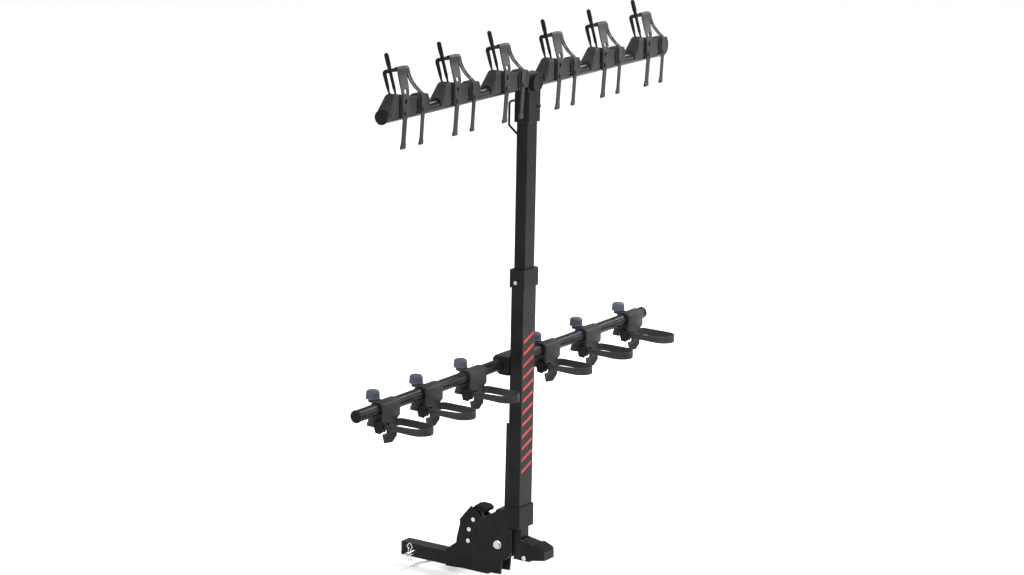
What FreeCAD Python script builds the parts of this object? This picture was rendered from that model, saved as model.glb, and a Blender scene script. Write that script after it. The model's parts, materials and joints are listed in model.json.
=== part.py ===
import FreeCAD, Part
import math
import os
import Sketcher
from FreeCAD import Placement, Rotation, Vector

# Hitch mounted rack that hangs six bicycles upright: a tilting mast on a square
# receiver tongue, a top bar with fork cradles and a lower bar with wheel clamps.
# Row frame: origin where the hitch pin crosses the tongue's axis, +Y towards the
# vehicle, +X to the right end of the bars, +Z up.

doc = FreeCAD.newDocument("BikeRack")
sheet = doc.addObject("Spreadsheet::Sheet", "Sizes")

drivingSizes = {
    # receiver tongue and hitch pin
    "tongueSide": 50.8, "tongueWall": 6.35, "tongueNose": 64.0, "tongueOverlap": 180.0,
    "pinRadius": 7.94, "runGap": 0.06, "pinLeft": 84.0, "pinRight": 58.0, "pinDrop": 62.0, "pinBend": 16.0,
    "clipPlace": 70.0, "clipWire": 1.6, "clipReach": 28.0, "clipRing": 24.0,
    # where the mast stands and where it tilts
    "pinToMast": 428.0, "pivotAhead": 64.0, "pivotUp": 97.0,
    # base plates
    "plateThick": 6.0, "plateReach": 228.0, "plateTop": 119.0, "earRadius": 28.0, "sideGap": 0.6,
    # toothed sector and lock bar
    "sectorInner": 114.0, "sectorOuter": 146.0, "sectorLow": -14.0, "sectorHigh": 43.0, "sectorHalf": 7.0,
    "toothDepth": 9.0, "noseHalf": 3.0, "tiltStep": 6.0, "rivetRing": 131.0, "rivetRadius": 5.0,
    "rivetHead": 8.0, "lockHalf": 6.0, "lockRise": 13.0, "lockTravel": 9.58, "looseGap": 0.6,
    # pedal
    "pedalBehind": 45.0, "pedalUp": 66.0, "pedalArm": 31.0, "pedalHalf": 30.0, "pedalWall": 4.0,
    "pedalReach": 130.0, "pedalTop": 131.0, "pedalPin": 5.0, "gripThick": 5.0, "gripRib": 2.0, "springWire": 1.6,
    # mast tubes
    "lowerWide": 88.0, "lowerDeep": 50.8, "mastWall": 3.0, "lowerFoot": 168.0, "lowerTop": 1085.0,
    "upperWide": 69.0, "upperDeep": 44.0, "upperFoot": 860.0, "barSeat": 2.75, "mastRound": 6.0,
    "bracketThick": 6.0, "bracketTop": 551.0, "bracketArc": 111.0, "webThick": 5.0,
    "collarLow": 170.0, "collarHigh": 250.0, "collarWall": 5.0, "midLow": 1045.0, "midHigh": 1109.0,
    "seatGap": 0.3,
    # lower bar
    "lowerBarRadius": 21.0, "barWall": 2.5, "lowerBarHalf": 900.0, "lowerBarUp": 763.0, "lowerBarAhead": 60.7,
    "saddleHalf": 50.0, "saddleTall": 27.0, "saddleWall": 10.0,
    # head and top bar
    "topBarRadius": 22.25, "topBarHalf": 869.0, "topBarUp": 1767.0, "topBarAhead": -7.0, "capThick": 8.0,
    "capLip": 2.2, "headLow": 1628.0, "headHalf": 38.0, "headWall": 8.0, "headCapRadius": 29.0, "headCapDeep": 6.0, "headCapGap": 0.75,
    "loopRadius": 4.0, "loopReach": 52.0, "loopLow": 1566.0, "loopHigh": 1700.0,
    # fork cradles
    "cradleGap": 330.0, "cradlePitch": 297.5, "cradleLeft": 106.0, "cradleRight": 112.0, "cradleWall": 4.75,
    "cradleBack": 12.0, "cradleTall": 70.0, "cradleSink": 6.0, "cradleSlot": 18.0, "cradleSlotDeep": 8.0,
    "rodRadius": 3.5, "rodLean": 17.0, "rodSocket": -12.0, "rightSocket": -32.0,
    "tallRod": 130.0, "tallRodSide": -58.0, "tallRodAhead": 16.0, "sleeveWall": 1.8,
    "gripSleeve": 7.6, "gripSleeveTall": 38.0, "bailLeft": -70.0, "bailRight": 30.0, "bailTall": 74.0, "bailBend": 12.0,
    "strapThick": 4.0, "wideStrapTop": 46.0, "wideStrapFoot": 34.0, "sideStrap": 19.0, "tailWide": 22.0, "sideTail": 18.0,
    "tailDrop": 114.0, "studRadius": 4.0, "studHead": 8.0, "wideStud": -20.0, "sideStud": 80.0,
    # wheel clamps
    "clampPlace1": -744.0, "clampPlace2": -493.0, "clampPlace3": -226.0, "clampPlace4": 246.0,
    "clampPlace5": 522.0, "clampPlace6": 815.0, "leverSide": -4.0, "leverDrop": 7.5, "loopSide": 8.0,
    "clampHalf": 47.5, "clampFront": 32.0, "clampBack": 25.0, "clampUp": 36.0, "clampDown": 32.0,
    "flangeReach": 48.0, "flangeHalf": 16.0, "flangeThick": 10.0, "flangeUp": 8.0, "flangeDown": 52.0,
    "buckleHalf": 28.0, "buckleDown": 64.0, "knobRadius": 24.5, "knobTall": 34.0, "knobNeck": 9.0,
    "boltRadius": 4.0, "nutHalf": 15.0, "nutTall": 24.0, "bandTall": 26.0, "bandThick": 3.0, "bandLow": 65.0,
    "loopHalf": 46.0, "loopDeep": 150.0, "leverHalf": 41.0, "leverTall": 46.0, "leverThick": 5.0, "hingeRadius": 3.0,
}

for row, (alias, value) in enumerate(drivingSizes.items(), start=1):
    sheet.set(f"A{row}", alias)
    sheet.set(f"B{row}", str(value))
    sheet.setAlias(f"B{row}", alias)
doc.recompute()


class Size:
    def __init__(self, value, text=None):
        self.value = float(value)
        self.text = str(value) if text is None else text

    def join(self, other, sign, value):
        return Size(value, f"({self.text} {sign} {other.text})")

    def __add__(self, other):
        other = sized(other)
        return self.join(other, "+", self.value + other.value)

    def __sub__(self, other):
        other = sized(other)
        return self.join(other, "-", self.value - other.value)

    def __mul__(self, other):
        other = sized(other)
        return self.join(other, "*", self.value * other.value)

    def __truediv__(self, other):
        other = sized(other)
        return self.join(other, "/", self.value / other.value)

    def __radd__(self, other):
        return sized(other) + self

    def __rsub__(self, other):
        return sized(other) - self

    def __rmul__(self, other):
        return sized(other) * self

    def __neg__(self):
        return sized(0) - self


def sized(number):
    return number if isinstance(number, Size) else Size(number)


def cosine(angle):
    angle = sized(angle)
    return Size(math.cos(math.radians(angle.value)), f"cos({angle.text} * 1 deg)")


def sine(angle):
    angle = sized(angle)
    return Size(math.sin(math.radians(angle.value)), f"sin({angle.text} * 1 deg)")


class Dimensions:
    def __getattr__(self, alias):
        return Size(sheet.get(alias), f"Sizes.{alias}")


dim = Dimensions()


# ---------- building blocks: every size and place is bound to the sheet ----------

def bind(item, prop, size):
    size = sized(size)
    item.setExpression(prop, size.text)


def place(item, base, rotation=None):
    item.Placement = Placement(Vector(*[sized(v).value for v in base]), rotation or Rotation())
    for axis, value in zip("xyz", base):
        bind(item, f"Placement.Base.{axis}", value)


def block(name, low, high):
    item = doc.addObject("Part::Box", name)
    for prop, a, b in zip(("Length", "Width", "Height"), low, high):
        bind(item, prop, sized(b) - sized(a))
    place(item, low)
    return item


axisTurns = {
    "X": Rotation(Vector(0, 1, 0), 90),
    "Y": Rotation(Vector(1, 0, 0), -90),
    "Z": Rotation(),
}


def rod(name, radius, start, length, axis="Z", turn=None):
    item = doc.addObject("Part::Cylinder", name)
    bind(item, "Radius", radius)
    bind(item, "Height", length)
    place(item, start, turn or axisTurns[axis])
    return item


def cone(name, radiusLow, radiusHigh, start, length, axis="Z"):
    item = doc.addObject("Part::Cone", name)
    bind(item, "Radius1", radiusLow)
    bind(item, "Radius2", radiusHigh)
    bind(item, "Height", length)
    place(item, start, axisTurns[axis])
    return item


def ball(name, radius, centre):
    item = doc.addObject("Part::Sphere", name)
    bind(item, "Radius", radius)
    place(item, centre)
    return item


def fuse(name, items):
    item = doc.addObject("Part::MultiFuse", name)
    item.Shapes = items
    item.Refine = True
    return item


def cut(name, base, tools):
    item = doc.addObject("Part::Cut", name)
    item.Base = base
    item.Tool = tools[0] if len(tools) == 1 else fuse(name + "Tools", tools)
    item.Refine = True
    return item


def together(name, items):
    item = doc.addObject("Part::Compound", name)
    item.Links = items
    return item


# an outline is a list of points in the plane, each a pair of sizes
def outline(name, plane, points, low, high):
    body = doc.addObject("PartDesign::Body", name)
    support = [f for f in body.Origin.OriginFeatures if f.Role == plane + "_Plane"][0]
    sketch = body.newObject("Sketcher::SketchObject", name + "Sketch")
    sketch.AttachmentSupport = [(support, "")]
    sketch.MapMode = "FlatFace"
    flip = -1 if plane == "XZ" else 1
    sketch.setExpression("AttachmentOffset.Base.z", (sized(low) * flip if flip > 0 else -sized(high)).text)
    count = len(points)
    places = [Vector(sized(u).value, sized(v).value, 0) for u, v in points]
    for index in range(count):
        sketch.addGeometry(Part.LineSegment(places[index], places[(index + 1) % count]), False)
    for index in range(count):
        sketch.addConstraint(Sketcher.Constraint("Coincident", index, 2, (index + 1) % count, 1))
    for index, (u, v) in enumerate(points):
        for kind, size in (("DistanceX", sized(u)), ("DistanceY", sized(v))):
            number = sketch.addConstraint(Sketcher.Constraint(kind, -1, 1, index, 1, size.value))
            sketch.setExpression(f"Constraints[{number}]", size.text)
    pad = body.newObject("PartDesign::Pad", name + "Pad")
    pad.Profile = sketch
    bind(pad, "Length", sized(high) - sized(low))
    sketch.Visibility = False
    return body


def roundEdges(name, item, radius, wanted):
    doc.recompute()
    softened = doc.addObject("Part::Fillet", name)
    softened.Base = item
    value = sized(radius).value
    picks = [(n, value, value) for n, edge in enumerate(item.Shape.Edges, start=1) if wanted(edge)]
    softened.Edges = picks
    return softened


def isUpright(edge):
    ends = edge.Vertexes
    if len(ends) != 2:
        return False
    along = ends[1].Point - ends[0].Point
    return abs(along.x) < 0.01 and abs(along.y) < 0.01


def boxTube(name, wide, deep, wall, low, high, y):
    outer = block(name + "Outer", (-wide / 2, y - deep / 2, low), (wide / 2, y + deep / 2, high))
    outer = roundEdges(name + "Round", outer, dim.mastRound, isUpright)
    inner = block(name + "Inner", (wall - wide / 2, y - deep / 2 + wall, low - 1), (wide / 2 - wall, y + deep / 2 - wall, high + 1))
    return cut(name, outer, [inner])


# a bar bent at its corners: straight runs joined by arcs that are tangent to both
def bentPath(points, bend):
    edges = []
    start = points[0]
    for before, corner, after in zip(points, points[1:], points[2:]):
        inward = (before - corner).normalize()
        outward = (after - corner).normalize()
        half = inward.getAngle(outward) / 2
        reach = bend / math.tan(half)
        first = corner + inward * reach
        last = corner + outward * reach
        middle = corner + (inward + outward).normalize() * (bend / math.sin(half) - bend)
        edges.append(Part.LineSegment(start, first).toShape())
        edges.append(Part.Arc(first, middle, last).toShape())
        start = last
    edges.append(Part.LineSegment(start, points[-1]).toShape())
    return Part.Wire(edges)


def bentBar(points, bend, radius):
    path = bentPath(points, bend)
    facing = (points[1] - points[0]).normalize()
    ring = Part.Wire([Part.Circle(points[0], facing, radius).toShape()])
    return path.makePipeShell([ring], True, True)


# a flat band: its centre line in space, its width along X and its thickness across
def band(centres, widths, thick):
    sections = []
    for index, (centre, wide) in enumerate(zip(centres, widths)):
        before = centres[max(index - 1, 0)]
        after = centres[min(index + 1, len(centres) - 1)]
        along = Vector(0, after.y - before.y, after.z - before.z).normalize()
        across = Vector(0, -along.z, along.y) * (thick / 2)
        side = Vector(wide / 2, 0, 0)
        corners = [centre - side - across, centre + side - across, centre + side + across, centre - side + across]
        sections.append(Part.makePolygon(corners + corners[:1]))
    return Part.makeLoft(sections, True, True)


def shaped(name, shape):
    item = doc.addObject("Part::Feature", name)
    item.Shape = shape
    return item


nodes = []


def node(item, label):
    item.Label = label
    nodes.append(item)
    return item


# ---------- main places ----------

mastY = -dim.pinToMast
pivotY = mastY + dim.pivotAhead
pivotZ = dim.pivotUp
tongueHalf = dim.tongueSide / 2
tongueRear = pivotY + dim.plateReach - dim.tongueOverlap
plateOuter = tongueHalf + dim.plateThick
bracketInner = plateOuter + dim.sideGap
bracketOuter = bracketInner + dim.bracketThick
pinHole = dim.pinRadius + dim.runGap


# ---------- base: tongue, plates, toothed sector ----------

def makeTongue():
    outer = block("TongueOuter", (-tongueHalf, tongueRear, -tongueHalf), (tongueHalf, dim.tongueNose, tongueHalf))
    inside = tongueHalf - dim.tongueWall
    inner = block("TongueInner", (-inside, tongueRear - 1, -inside), (inside, dim.tongueNose + 1, inside))
    hole = rod("TonguePinHole", pinHole, (-dim.tongueSide, 0, 0), dim.tongueSide * 2, "X")
    return node(cut("Tongue", outer, [inner, hole]), "tongue")


def onRing(radius, angle):
    return pivotY + radius * cosine(angle), pivotZ + radius * sine(angle)


rivetAngles = (-5, 14, 33)


def makeBasePlates():
    front = pivotY + dim.plateReach
    low = -tongueHalf - 2
    top = pivotZ + dim.plateTop
    points = [
        (pivotY - 10, low + 14), (front, low), (front, tongueHalf + 10), (front - 45, pivotZ - 27),
        (front - 46, pivotZ - 10), (front - 60, pivotZ + 47), (front - 58, pivotZ + 60), (front - 63, pivotZ + 68),
        (front - 105, top), (front - 118, top - 7), (pivotY + 69, pivotZ + 78), (pivotY + 20, pivotZ + 22),
        (pivotY - 20, pivotZ - 19), (pivotY - 14, pivotZ - 61),
    ]
    plates = []
    for side, low in (("Left", -plateOuter), ("Right", tongueHalf)):
        high = low + dim.plateThick
        sheetShape = outline("BasePlate" + side + "Sheet", "YZ", points, low, high)
        ear = rod("BasePlate" + side + "Ear", dim.earRadius, (low, pivotY, pivotZ), dim.plateThick, "X")
        holes = [rod("BasePlate" + side + "Pivot", pinHole, (low - 1, pivotY, pivotZ), dim.plateThick + 2, "X")]
        for number, angle in enumerate(rivetAngles):
            y, z = onRing(dim.rivetRing, angle)
            holes.append(rod(f"BasePlate{side}Rivet{number}", dim.rivetRadius, (low - 1, y, z), dim.plateThick + 2, "X"))
        plates.append(cut("BasePlate" + side, fuse("BasePlate" + side + "Solid", [sheetShape, ear]), holes))
    return node(together("BasePlates", plates), "base_plates")


def makeSector():
    ring = rod("SectorOuter", dim.sectorOuter, (-dim.sectorHalf, pivotY, pivotZ), dim.sectorHalf * 2, "X")
    far = dim.sectorOuter * 2
    wedge = outline("SectorWedge", "YZ", [
        (pivotY, pivotZ), onRing(far, dim.sectorLow), onRing(far, (dim.sectorLow + dim.sectorHigh) / 2),
        onRing(far, dim.sectorHigh)], -dim.sectorHalf, dim.sectorHalf)
    common = doc.addObject("Part::MultiCommon", "SectorBlank")
    common.Shapes = [ring, wedge]
    tools = [rod("SectorInner", dim.sectorInner, (-dim.sectorHalf - 1, pivotY, pivotZ), dim.sectorHalf * 2 + 2, "X")]
    notchHalf = dim.noseHalf + dim.seatGap
    for number in range(7):
        angle = dim.tiltStep * number
        notch = doc.addObject("Part::Box", f"SectorNotch{number}")
        bind(notch, "Length", dim.sectorHalf * 2 + 2)
        bind(notch, "Width", dim.sectorInner + dim.toothDepth)
        bind(notch, "Height", notchHalf * 2)
        start = (-dim.sectorHalf - 1, pivotY + notchHalf * sine(angle), pivotZ - notchHalf * cosine(angle))
        place(notch, start, Rotation(Vector(1, 0, 0), angle.value))
        notch.setExpression("Placement.Rotation.Angle", f"{angle.text} * 1 deg")
        tools.append(notch)
    for number, angle in enumerate(rivetAngles):
        y, z = onRing(dim.rivetRing, angle)
        tools.append(rod(f"SectorRivet{number}", dim.rivetRadius, (-dim.sectorHalf - 1, y, z), dim.sectorHalf * 2 + 2, "X"))
    return node(cut("LockSector", common, tools), "lock_sector")


def makeRivets():
    rivets = []
    for number, angle in enumerate(rivetAngles):
        y, z = onRing(dim.rivetRing, angle)
        shank = rod(f"Rivet{number}Shank", dim.rivetRadius, (-plateOuter, y, z), plateOuter * 2, "X")
        left = rod(f"Rivet{number}Left", dim.rivetHead, (-plateOuter - 3, y, z), 3, "X")
        right = rod(f"Rivet{number}Right", dim.rivetHead, (plateOuter, y, z), 3, "X")
        rivets.append(fuse(f"Rivet{number}", [shank, left, right]))
    return node(together("SectorRivets", rivets), "sector_rivets")


def makeStopBlock():
    top = pivotZ + dim.plateTop
    points = [(pivotY + 62, top - 14), (pivotY + 114, top - 14), (pivotY + 118, top - 6), (pivotY + 106, top + 6),
              (pivotY + 74, top + 6), (pivotY + 60, top - 2)]
    return node(outline("StopBlock", "YZ", points, -tongueHalf, tongueHalf), "stop_block")


# ---------- hitch pin and its clip ----------

def makeHitchPin():
    corners = [Vector(-dim.pinLeft.value, 0, 0), Vector(dim.pinRight.value, 0, 0),
               Vector(dim.pinRight.value + 8, 0, -dim.pinDrop.value)]
    shank = shaped("HitchPinBar", bentBar(corners, dim.pinBend.value, dim.pinRadius.value))
    nose = cone("HitchPinNose", dim.pinRadius - 3, dim.pinRadius, (-dim.pinLeft - 5, 0, 0), 5, "X")
    solid = fuse("HitchPinSolid", [shank, nose])
    hole = rod("HitchPinClipHole", dim.clipWire + dim.runGap, (-dim.clipPlace, 0, -dim.pinRadius * 2), dim.pinRadius * 4)
    return node(cut("HitchPin", solid, [hole]), "hitch_pin")


def makeHitchClip():
    x = -dim.clipPlace.value
    wire = dim.clipWire.value
    leg = -(dim.pinRadius.value + wire + dim.seatGap.value)
    low, ring = -dim.clipReach.value, dim.clipRing.value
    corners = [Vector(x, 0, low), Vector(x, 0, ring - 4), Vector(x, 7, ring + 6), Vector(x, leg / 2, ring + 20),
               Vector(x, leg - 7, ring + 6), Vector(x, leg, ring - 8), Vector(x, leg, low + 14), Vector(x, leg - 5, low + 2)]
    return node(shaped("HitchClip", bentBar(corners, 4.0, wire)), "hitch_clip")


# ---------- mast: bracket, tubes, collars, foot ----------

def makePivotBolt():
    shank = rod("PivotShank", dim.pinRadius, (-bracketOuter - 2, pivotY, pivotZ), bracketOuter * 2 + 14, "X")
    parts = [shank]
    for side, x, thick in (("Head", -bracketOuter - 10, 8), ("Nut", bracketOuter + 2, 10)):
        hexagon = doc.addObject("Part::Prism", "Pivot" + side)
        hexagon.Polygon = 6
        bind(hexagon, "Circumradius", dim.pinRadius * 1.75)
        bind(hexagon, "Height", thick)
        place(hexagon, (x, pivotY, pivotZ), axisTurns["X"])
        parts.append(hexagon)
    for side, x in (("Left", -bracketOuter - 2), ("Right", bracketOuter)):
        parts.append(rod("PivotWasher" + side, dim.pinRadius * 2, (x, pivotY, pivotZ), 2, "X"))
    return node(fuse("PivotBolt", parts), "pivot_bolt")


def makeMastBracket():
    face = mastY + dim.lowerDeep / 2 + dim.seatGap
    tail = face + 11
    arc = dim.bracketArc
    points = [(face, dim.bracketTop), (tail, dim.bracketTop), (tail + 2, dim.bracketTop - 247),
              (tail + 3, pivotZ + 138), (pivotY + 7, pivotZ + 131), (pivotY + 15, pivotZ + 119)]
    points += [onRing(arc, angle) for angle in (62, 51, 40, 30, 20, 10, 0, -10, -20, -29, -38)]
    points += [(pivotY - 16, pivotZ - 59), (pivotY - 34, pivotZ - 51), (pivotY - 48, pivotZ - 38), (pivotY - 58, pivotZ - 22),
               (pivotY - 58, dim.collarLow - 8), (face, dim.collarLow - 8)]
    parts = []
    for side, low in (("Left", -bracketOuter), ("Right", bracketInner)):
        parts.append(outline("Bracket" + side, "YZ", points, low, low + dim.bracketThick))
    parts.append(block("BracketWeb", (-bracketInner, face, dim.collarLow - 8), (bracketInner, face + dim.webThick, dim.bracketTop)))
    shelf = block("BracketShelf", (-bracketInner, tail + 3, pivotZ + 125), (bracketInner, pivotY + 7, pivotZ + 131))
    link = block("BracketShelfLink", (-bracketInner, face + dim.webThick, pivotZ + 125), (bracketInner, tail + 3, pivotZ + 131))
    parts += [shelf, link]
    hole = rod("BracketPivotHole", pinHole, (-bracketOuter - 1, pivotY, pivotZ), bracketOuter * 2 + 2, "X")
    holes = [hole]
    for number, z in enumerate(bracketBoltHeights()):
        holes.append(rod(f"BracketBoltHole{number}", dim.boltRadius, (0, face - 1, z), dim.webThick + 2, "Y"))
    return node(cut("MastBracket", fuse("MastBracketSolid", parts), holes), "mast_bracket")


def bracketBoltHeights():
    return [dim.bracketTop - 40, dim.bracketTop - 210]


def makeLowerMast():
    tube = boxTube("LowerMastTube", dim.lowerWide, dim.lowerDeep, dim.mastWall, dim.lowerFoot, dim.lowerTop, mastY)
    front = mastY + dim.lowerDeep / 2
    holes = []
    for number, z in enumerate(bracketBoltHeights()):
        holes.append(rod(f"MastBoltHole{number}", dim.boltRadius, (0, front - dim.mastWall - 1, z), dim.mastWall + 2, "Y"))
    side = rod("MastCollarHole", dim.boltRadius, (-dim.lowerWide / 2 - 1, mastY, dim.midLow + 20), dim.mastWall + 2, "X")
    return node(cut("LowerMast", tube, holes + [side]), "lower_mast")


def makeMastFoot():
    plugX = dim.lowerWide / 2 - dim.mastWall - dim.seatGap
    plugY = dim.lowerDeep / 2 - dim.mastWall - dim.seatGap
    plug = block("FootPlug", (-plugX, mastY - plugY, dim.lowerFoot), (plugX, mastY + plugY, dim.lowerFoot + 66))
    half = dim.lowerDeep / 2
    top, low = dim.lowerFoot, dim.pedalUp - 14
    points = [(mastY + half, top), (mastY - half, top), (mastY - half, pivotZ + 29), (mastY - half - 9, pivotZ + 17),
              (mastY - dim.pedalBehind - 15, pivotZ + 15), (mastY - dim.pedalBehind - 17, low), (mastY + 5, low),
              (mastY + 5, pivotZ - 13), (mastY + half, pivotZ + 11)]
    cheek = tongueHalf - 1.4
    neck = outline("FootNeck", "YZ", points, -cheek, cheek)
    slotHalf = dim.lockHalf + dim.looseGap
    slot = block("FootSlot", (-slotHalf, mastY - 90, low - 5), (slotHalf, mastY + 60, pivotZ + 17))
    pedalY = mastY - dim.pedalBehind
    hole = rod("FootPedalHole", dim.pedalPin, (-60, pedalY, dim.pedalUp), 120, "X")
    clear = block("FootArmClear", (-cheek - 1, pedalY - 9, pivotZ - 6), (cheek + 1, pedalY + 9, pivotZ + 40))
    clear2 = block("FootArmSweep", (-cheek - 1, pedalY - 22, pivotZ - 8), (cheek + 1, pedalY - 8, pivotZ + 40))
    return node(cut("MastFoot", fuse("MastFootSolid", [plug, neck]), [slot, hole, clear, clear2]), "mast_foot")


def makeBottomCollar():
    wide = dim.lowerWide / 2
    deep = dim.lowerDeep / 2
    outer = block("CollarOuter", (-wide - dim.collarWall, mastY - deep - dim.collarWall, dim.collarLow),
                  (wide + dim.collarWall, mastY + deep, dim.collarHigh))
    outer = roundEdges("CollarRound", outer, 5, lambda edge: isUpright(edge) and edge.CenterOfMass.y < mastY.value)
    inner = block("CollarInner", (-wide - dim.seatGap, mastY - deep - dim.seatGap, dim.collarLow - 1),
                  (wide + dim.seatGap, mastY + deep + 1, dim.collarHigh + 1))
    return node(cut("BottomCollar", outer, [inner]), "bottom_collar")


def makeMidCollar():
    wide = dim.lowerWide / 2
    deep = dim.lowerDeep / 2
    wall = dim.collarWall
    outer = block("MidOuter", (-wide - wall, mastY - deep - wall, dim.midLow), (wide + wall, mastY + deep + wall, dim.midHigh))
    outer = roundEdges("MidRound", outer, 6, isUpright)
    gap = dim.seatGap
    around = block("MidAround", (-wide - gap, mastY - deep - gap, dim.midLow - 1), (wide + gap, mastY + deep + gap, dim.lowerTop + gap))
    throat = block("MidThroat", (-dim.upperWide / 2 - gap, mastY - dim.upperDeep / 2 - gap, dim.midLow - 1),
                   (dim.upperWide / 2 + gap, mastY + dim.upperDeep / 2 + gap, dim.midHigh + 1))
    hole = rod("MidBoltHole", dim.boltRadius, (-wide - wall - 1, mastY, dim.midLow + 20), wall + 2, "X")
    return node(cut("MidCollar", outer, [around, throat, hole]), "mid_collar")


def makeMastBolts():
    bolts = []
    outside = dim.lowerWide / 2 + dim.collarWall
    reach = outside - dim.upperWide / 2 - dim.seatGap
    shank = rod("CollarBoltShank", dim.boltRadius, (-outside, mastY, dim.midLow + 20), reach, "X")
    head = rod("CollarBoltHead", dim.boltRadius * 1.8, (-outside - 6, mastY, dim.midLow + 20), 6, "X")
    bolts.append(fuse("CollarBolt", [shank, head]))
    face = mastY + dim.lowerDeep / 2 + dim.seatGap + dim.webThick
    for number, z in enumerate(bracketBoltHeights()):
        inner = rod(f"BracketBoltShank{number}", dim.boltRadius, (0, face - dim.webThick - 5, z), dim.webThick + 5, "Y")
        cap = rod(f"BracketBoltHead{number}", dim.boltRadius * 1.8, (0, face, z), 6, "Y")
        bolts.append(fuse(f"BracketBolt{number}", [inner, cap]))
    pedalY = mastY - dim.pedalBehind
    pinShank = rod("PedalPinShank", dim.pedalPin, (-dim.pedalHalf - 3, pedalY, dim.pedalUp), dim.pedalHalf * 2 + 6, "X")
    pinLeft = rod("PedalPinLeft", dim.pedalPin * 1.7, (-dim.pedalHalf - 5, pedalY, dim.pedalUp), 3, "X")
    pinRight = rod("PedalPinRight", dim.pedalPin * 1.7, (dim.pedalHalf + 2, pedalY, dim.pedalUp), 3, "X")
    pin = fuse("PedalPin", [pinShank, pinLeft, pinRight])
    return node(together("MastBolts", bolts + [pin]), "mast_bolts")


def makePedalSpring():
    wire = dim.springWire.value
    radius = dim.pedalPin.value + wire / 2 + dim.seatGap.value
    width = dim.lockHalf.value * 2 - wire
    coil = Part.makeHelix(wire * 2.1, width - wire, radius)
    ring = Part.Wire([Part.Circle(Vector(radius, 0, 0), Vector(0, 1, 0), wire / 2).toShape()])
    spring = shaped("PedalSpring", Part.Wire(coil).makePipeShell([ring], True, True))
    place(spring, (-(width - wire) / 2, mastY - dim.pedalBehind, dim.pedalUp), axisTurns["X"])
    return node(spring, "pedal_spring")


# ---------- pedal and lock bar ----------

def makePedal():
    pedalY = mastY - dim.pedalBehind
    back = mastY - 14
    end = mastY - dim.pedalReach
    top = dim.pedalTop
    inner = dim.pedalHalf - dim.pedalWall
    side = [(back, top), (end + 32, top - 14), (end, top - 29), (end, top - 60), (pedalY + 10, dim.pedalUp - 12), (back, dim.pedalUp - 6)]
    shell = outline("PedalShell", "YZ", side, -dim.pedalHalf, dim.pedalHalf)
    wall = dim.pedalWall
    hollow = [(back + 9, top - wall), (end + 32, top - 14 - wall), (end + wall, top - 29 - wall), (end + wall, top - 80),
              (back + 9, top - 90)]
    inside = outline("PedalInside", "YZ", hollow, -inner, inner)
    notch = block("PedalNeckNotch", (-inner, mastY - dim.lowerDeep / 2 - 8, top - 20), (inner, back + 2, top + 5))
    cup = cut("PedalCup", shell, [inside, notch])
    cross = rod("PedalCrossPin", 4, (-dim.pedalHalf, pedalY, dim.pedalUp + dim.pedalArm), dim.pedalHalf * 2, "X")
    hole = rod("PedalPinHole", dim.pedalPin + dim.runGap, (-60, pedalY, dim.pedalUp), 120, "X")
    return node(cut("Pedal", fuse("PedalSolid", [cup, cross]), [hole]), "pedal")


def makePedalGrip():
    end = mastY - dim.pedalReach
    top = dim.pedalTop
    half = dim.pedalHalf
    start = end + 32
    thick = dim.gripThick
    points = [(end + 2, top - 27), (start, top - 14), (start + 12, top - 12), (start + 12, top - 12 + thick),
              (start, top - 14 + thick), (end + 2, top - 27 + thick)]
    pad = outline("GripPad", "YZ", points, -half, half)
    parts = [pad]
    for number in range(4):
        y = end + 4 + number * 8
        z = top - 26 + number * 3.3 + thick
        parts.append(block(f"GripRib{number}", (-half + 2, y, z - 3), (half - 2, y + 3.5, z + dim.gripRib)))
    return node(fuse("PedalGrip", parts), "pedal_grip")


def makeLockBar():
    pedalY = mastY - dim.pedalBehind
    half = dim.lockHalf
    rise = dim.lockRise
    nose = pivotY + dim.sectorInner + dim.toothDepth - 1
    body = block("LockBody", (-half, pedalY - 12, pivotZ - rise), (half, pivotY + dim.sectorInner - 6, pivotZ + rise))
    tip = block("LockNose", (-half, pivotY + dim.sectorInner - 8, pivotZ - dim.noseHalf), (half, nose, pivotZ + dim.noseHalf))
    slotHalf = dim.pinRadius + dim.looseGap
    slot = block("LockSlot", (-half - 1, pivotY - slotHalf, pivotZ - slotHalf),
                 (half + 1, pivotY + slotHalf + dim.lockTravel + 0.4, pivotZ + slotHalf))
    armHalf = 4 + dim.looseGap
    eye = block("LockEye", (-half - 1, pedalY - armHalf, pivotZ - 9), (half + 1, pedalY + armHalf, pivotZ + 9))
    return node(cut("LockBar", fuse("LockBarSolid", [body, tip]), [slot, eye]), "lock_bar")


# ---------- lower bar ----------

barY = mastY + dim.lowerBarAhead
barZ = dim.lowerBarUp


def makeTube(name, radius, wall, half, y, z):
    outer = rod(name + "Outer", radius, (-half, y, z), half * 2, "X")
    inner = rod(name + "Inner", radius - wall, (-half - 1, y, z), half * 2 + 2, "X")
    return cut(name, outer, [inner])


def makeBarCaps(name, label, radius, wall, lip, half, y, z):
    caps = []
    for side, end in (("Left", -half), ("Right", half)):
        out = -1 if side == "Left" else 1
        plate = rod(name + side + "Plate", radius + lip, (end - dim.capThick if out < 0 else end, y, z), dim.capThick, "X")
        plate = roundRim(name + side + "Rim", plate, 2.5, end.value + out * dim.capThick.value)
        plug = rod(name + side + "Plug", radius - wall - 0.1, (end if out < 0 else end - 18, y, z), 18, "X")
        caps.append(fuse(name + side, [plate, plug]))
    return node(together(name, caps), label)


def roundRim(name, item, radius, x):
    return roundEdges(name, item, radius, lambda edge: abs(edge.BoundBox.XMin - x) < 0.01 and abs(edge.BoundBox.XMax - x) < 0.01)


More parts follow.
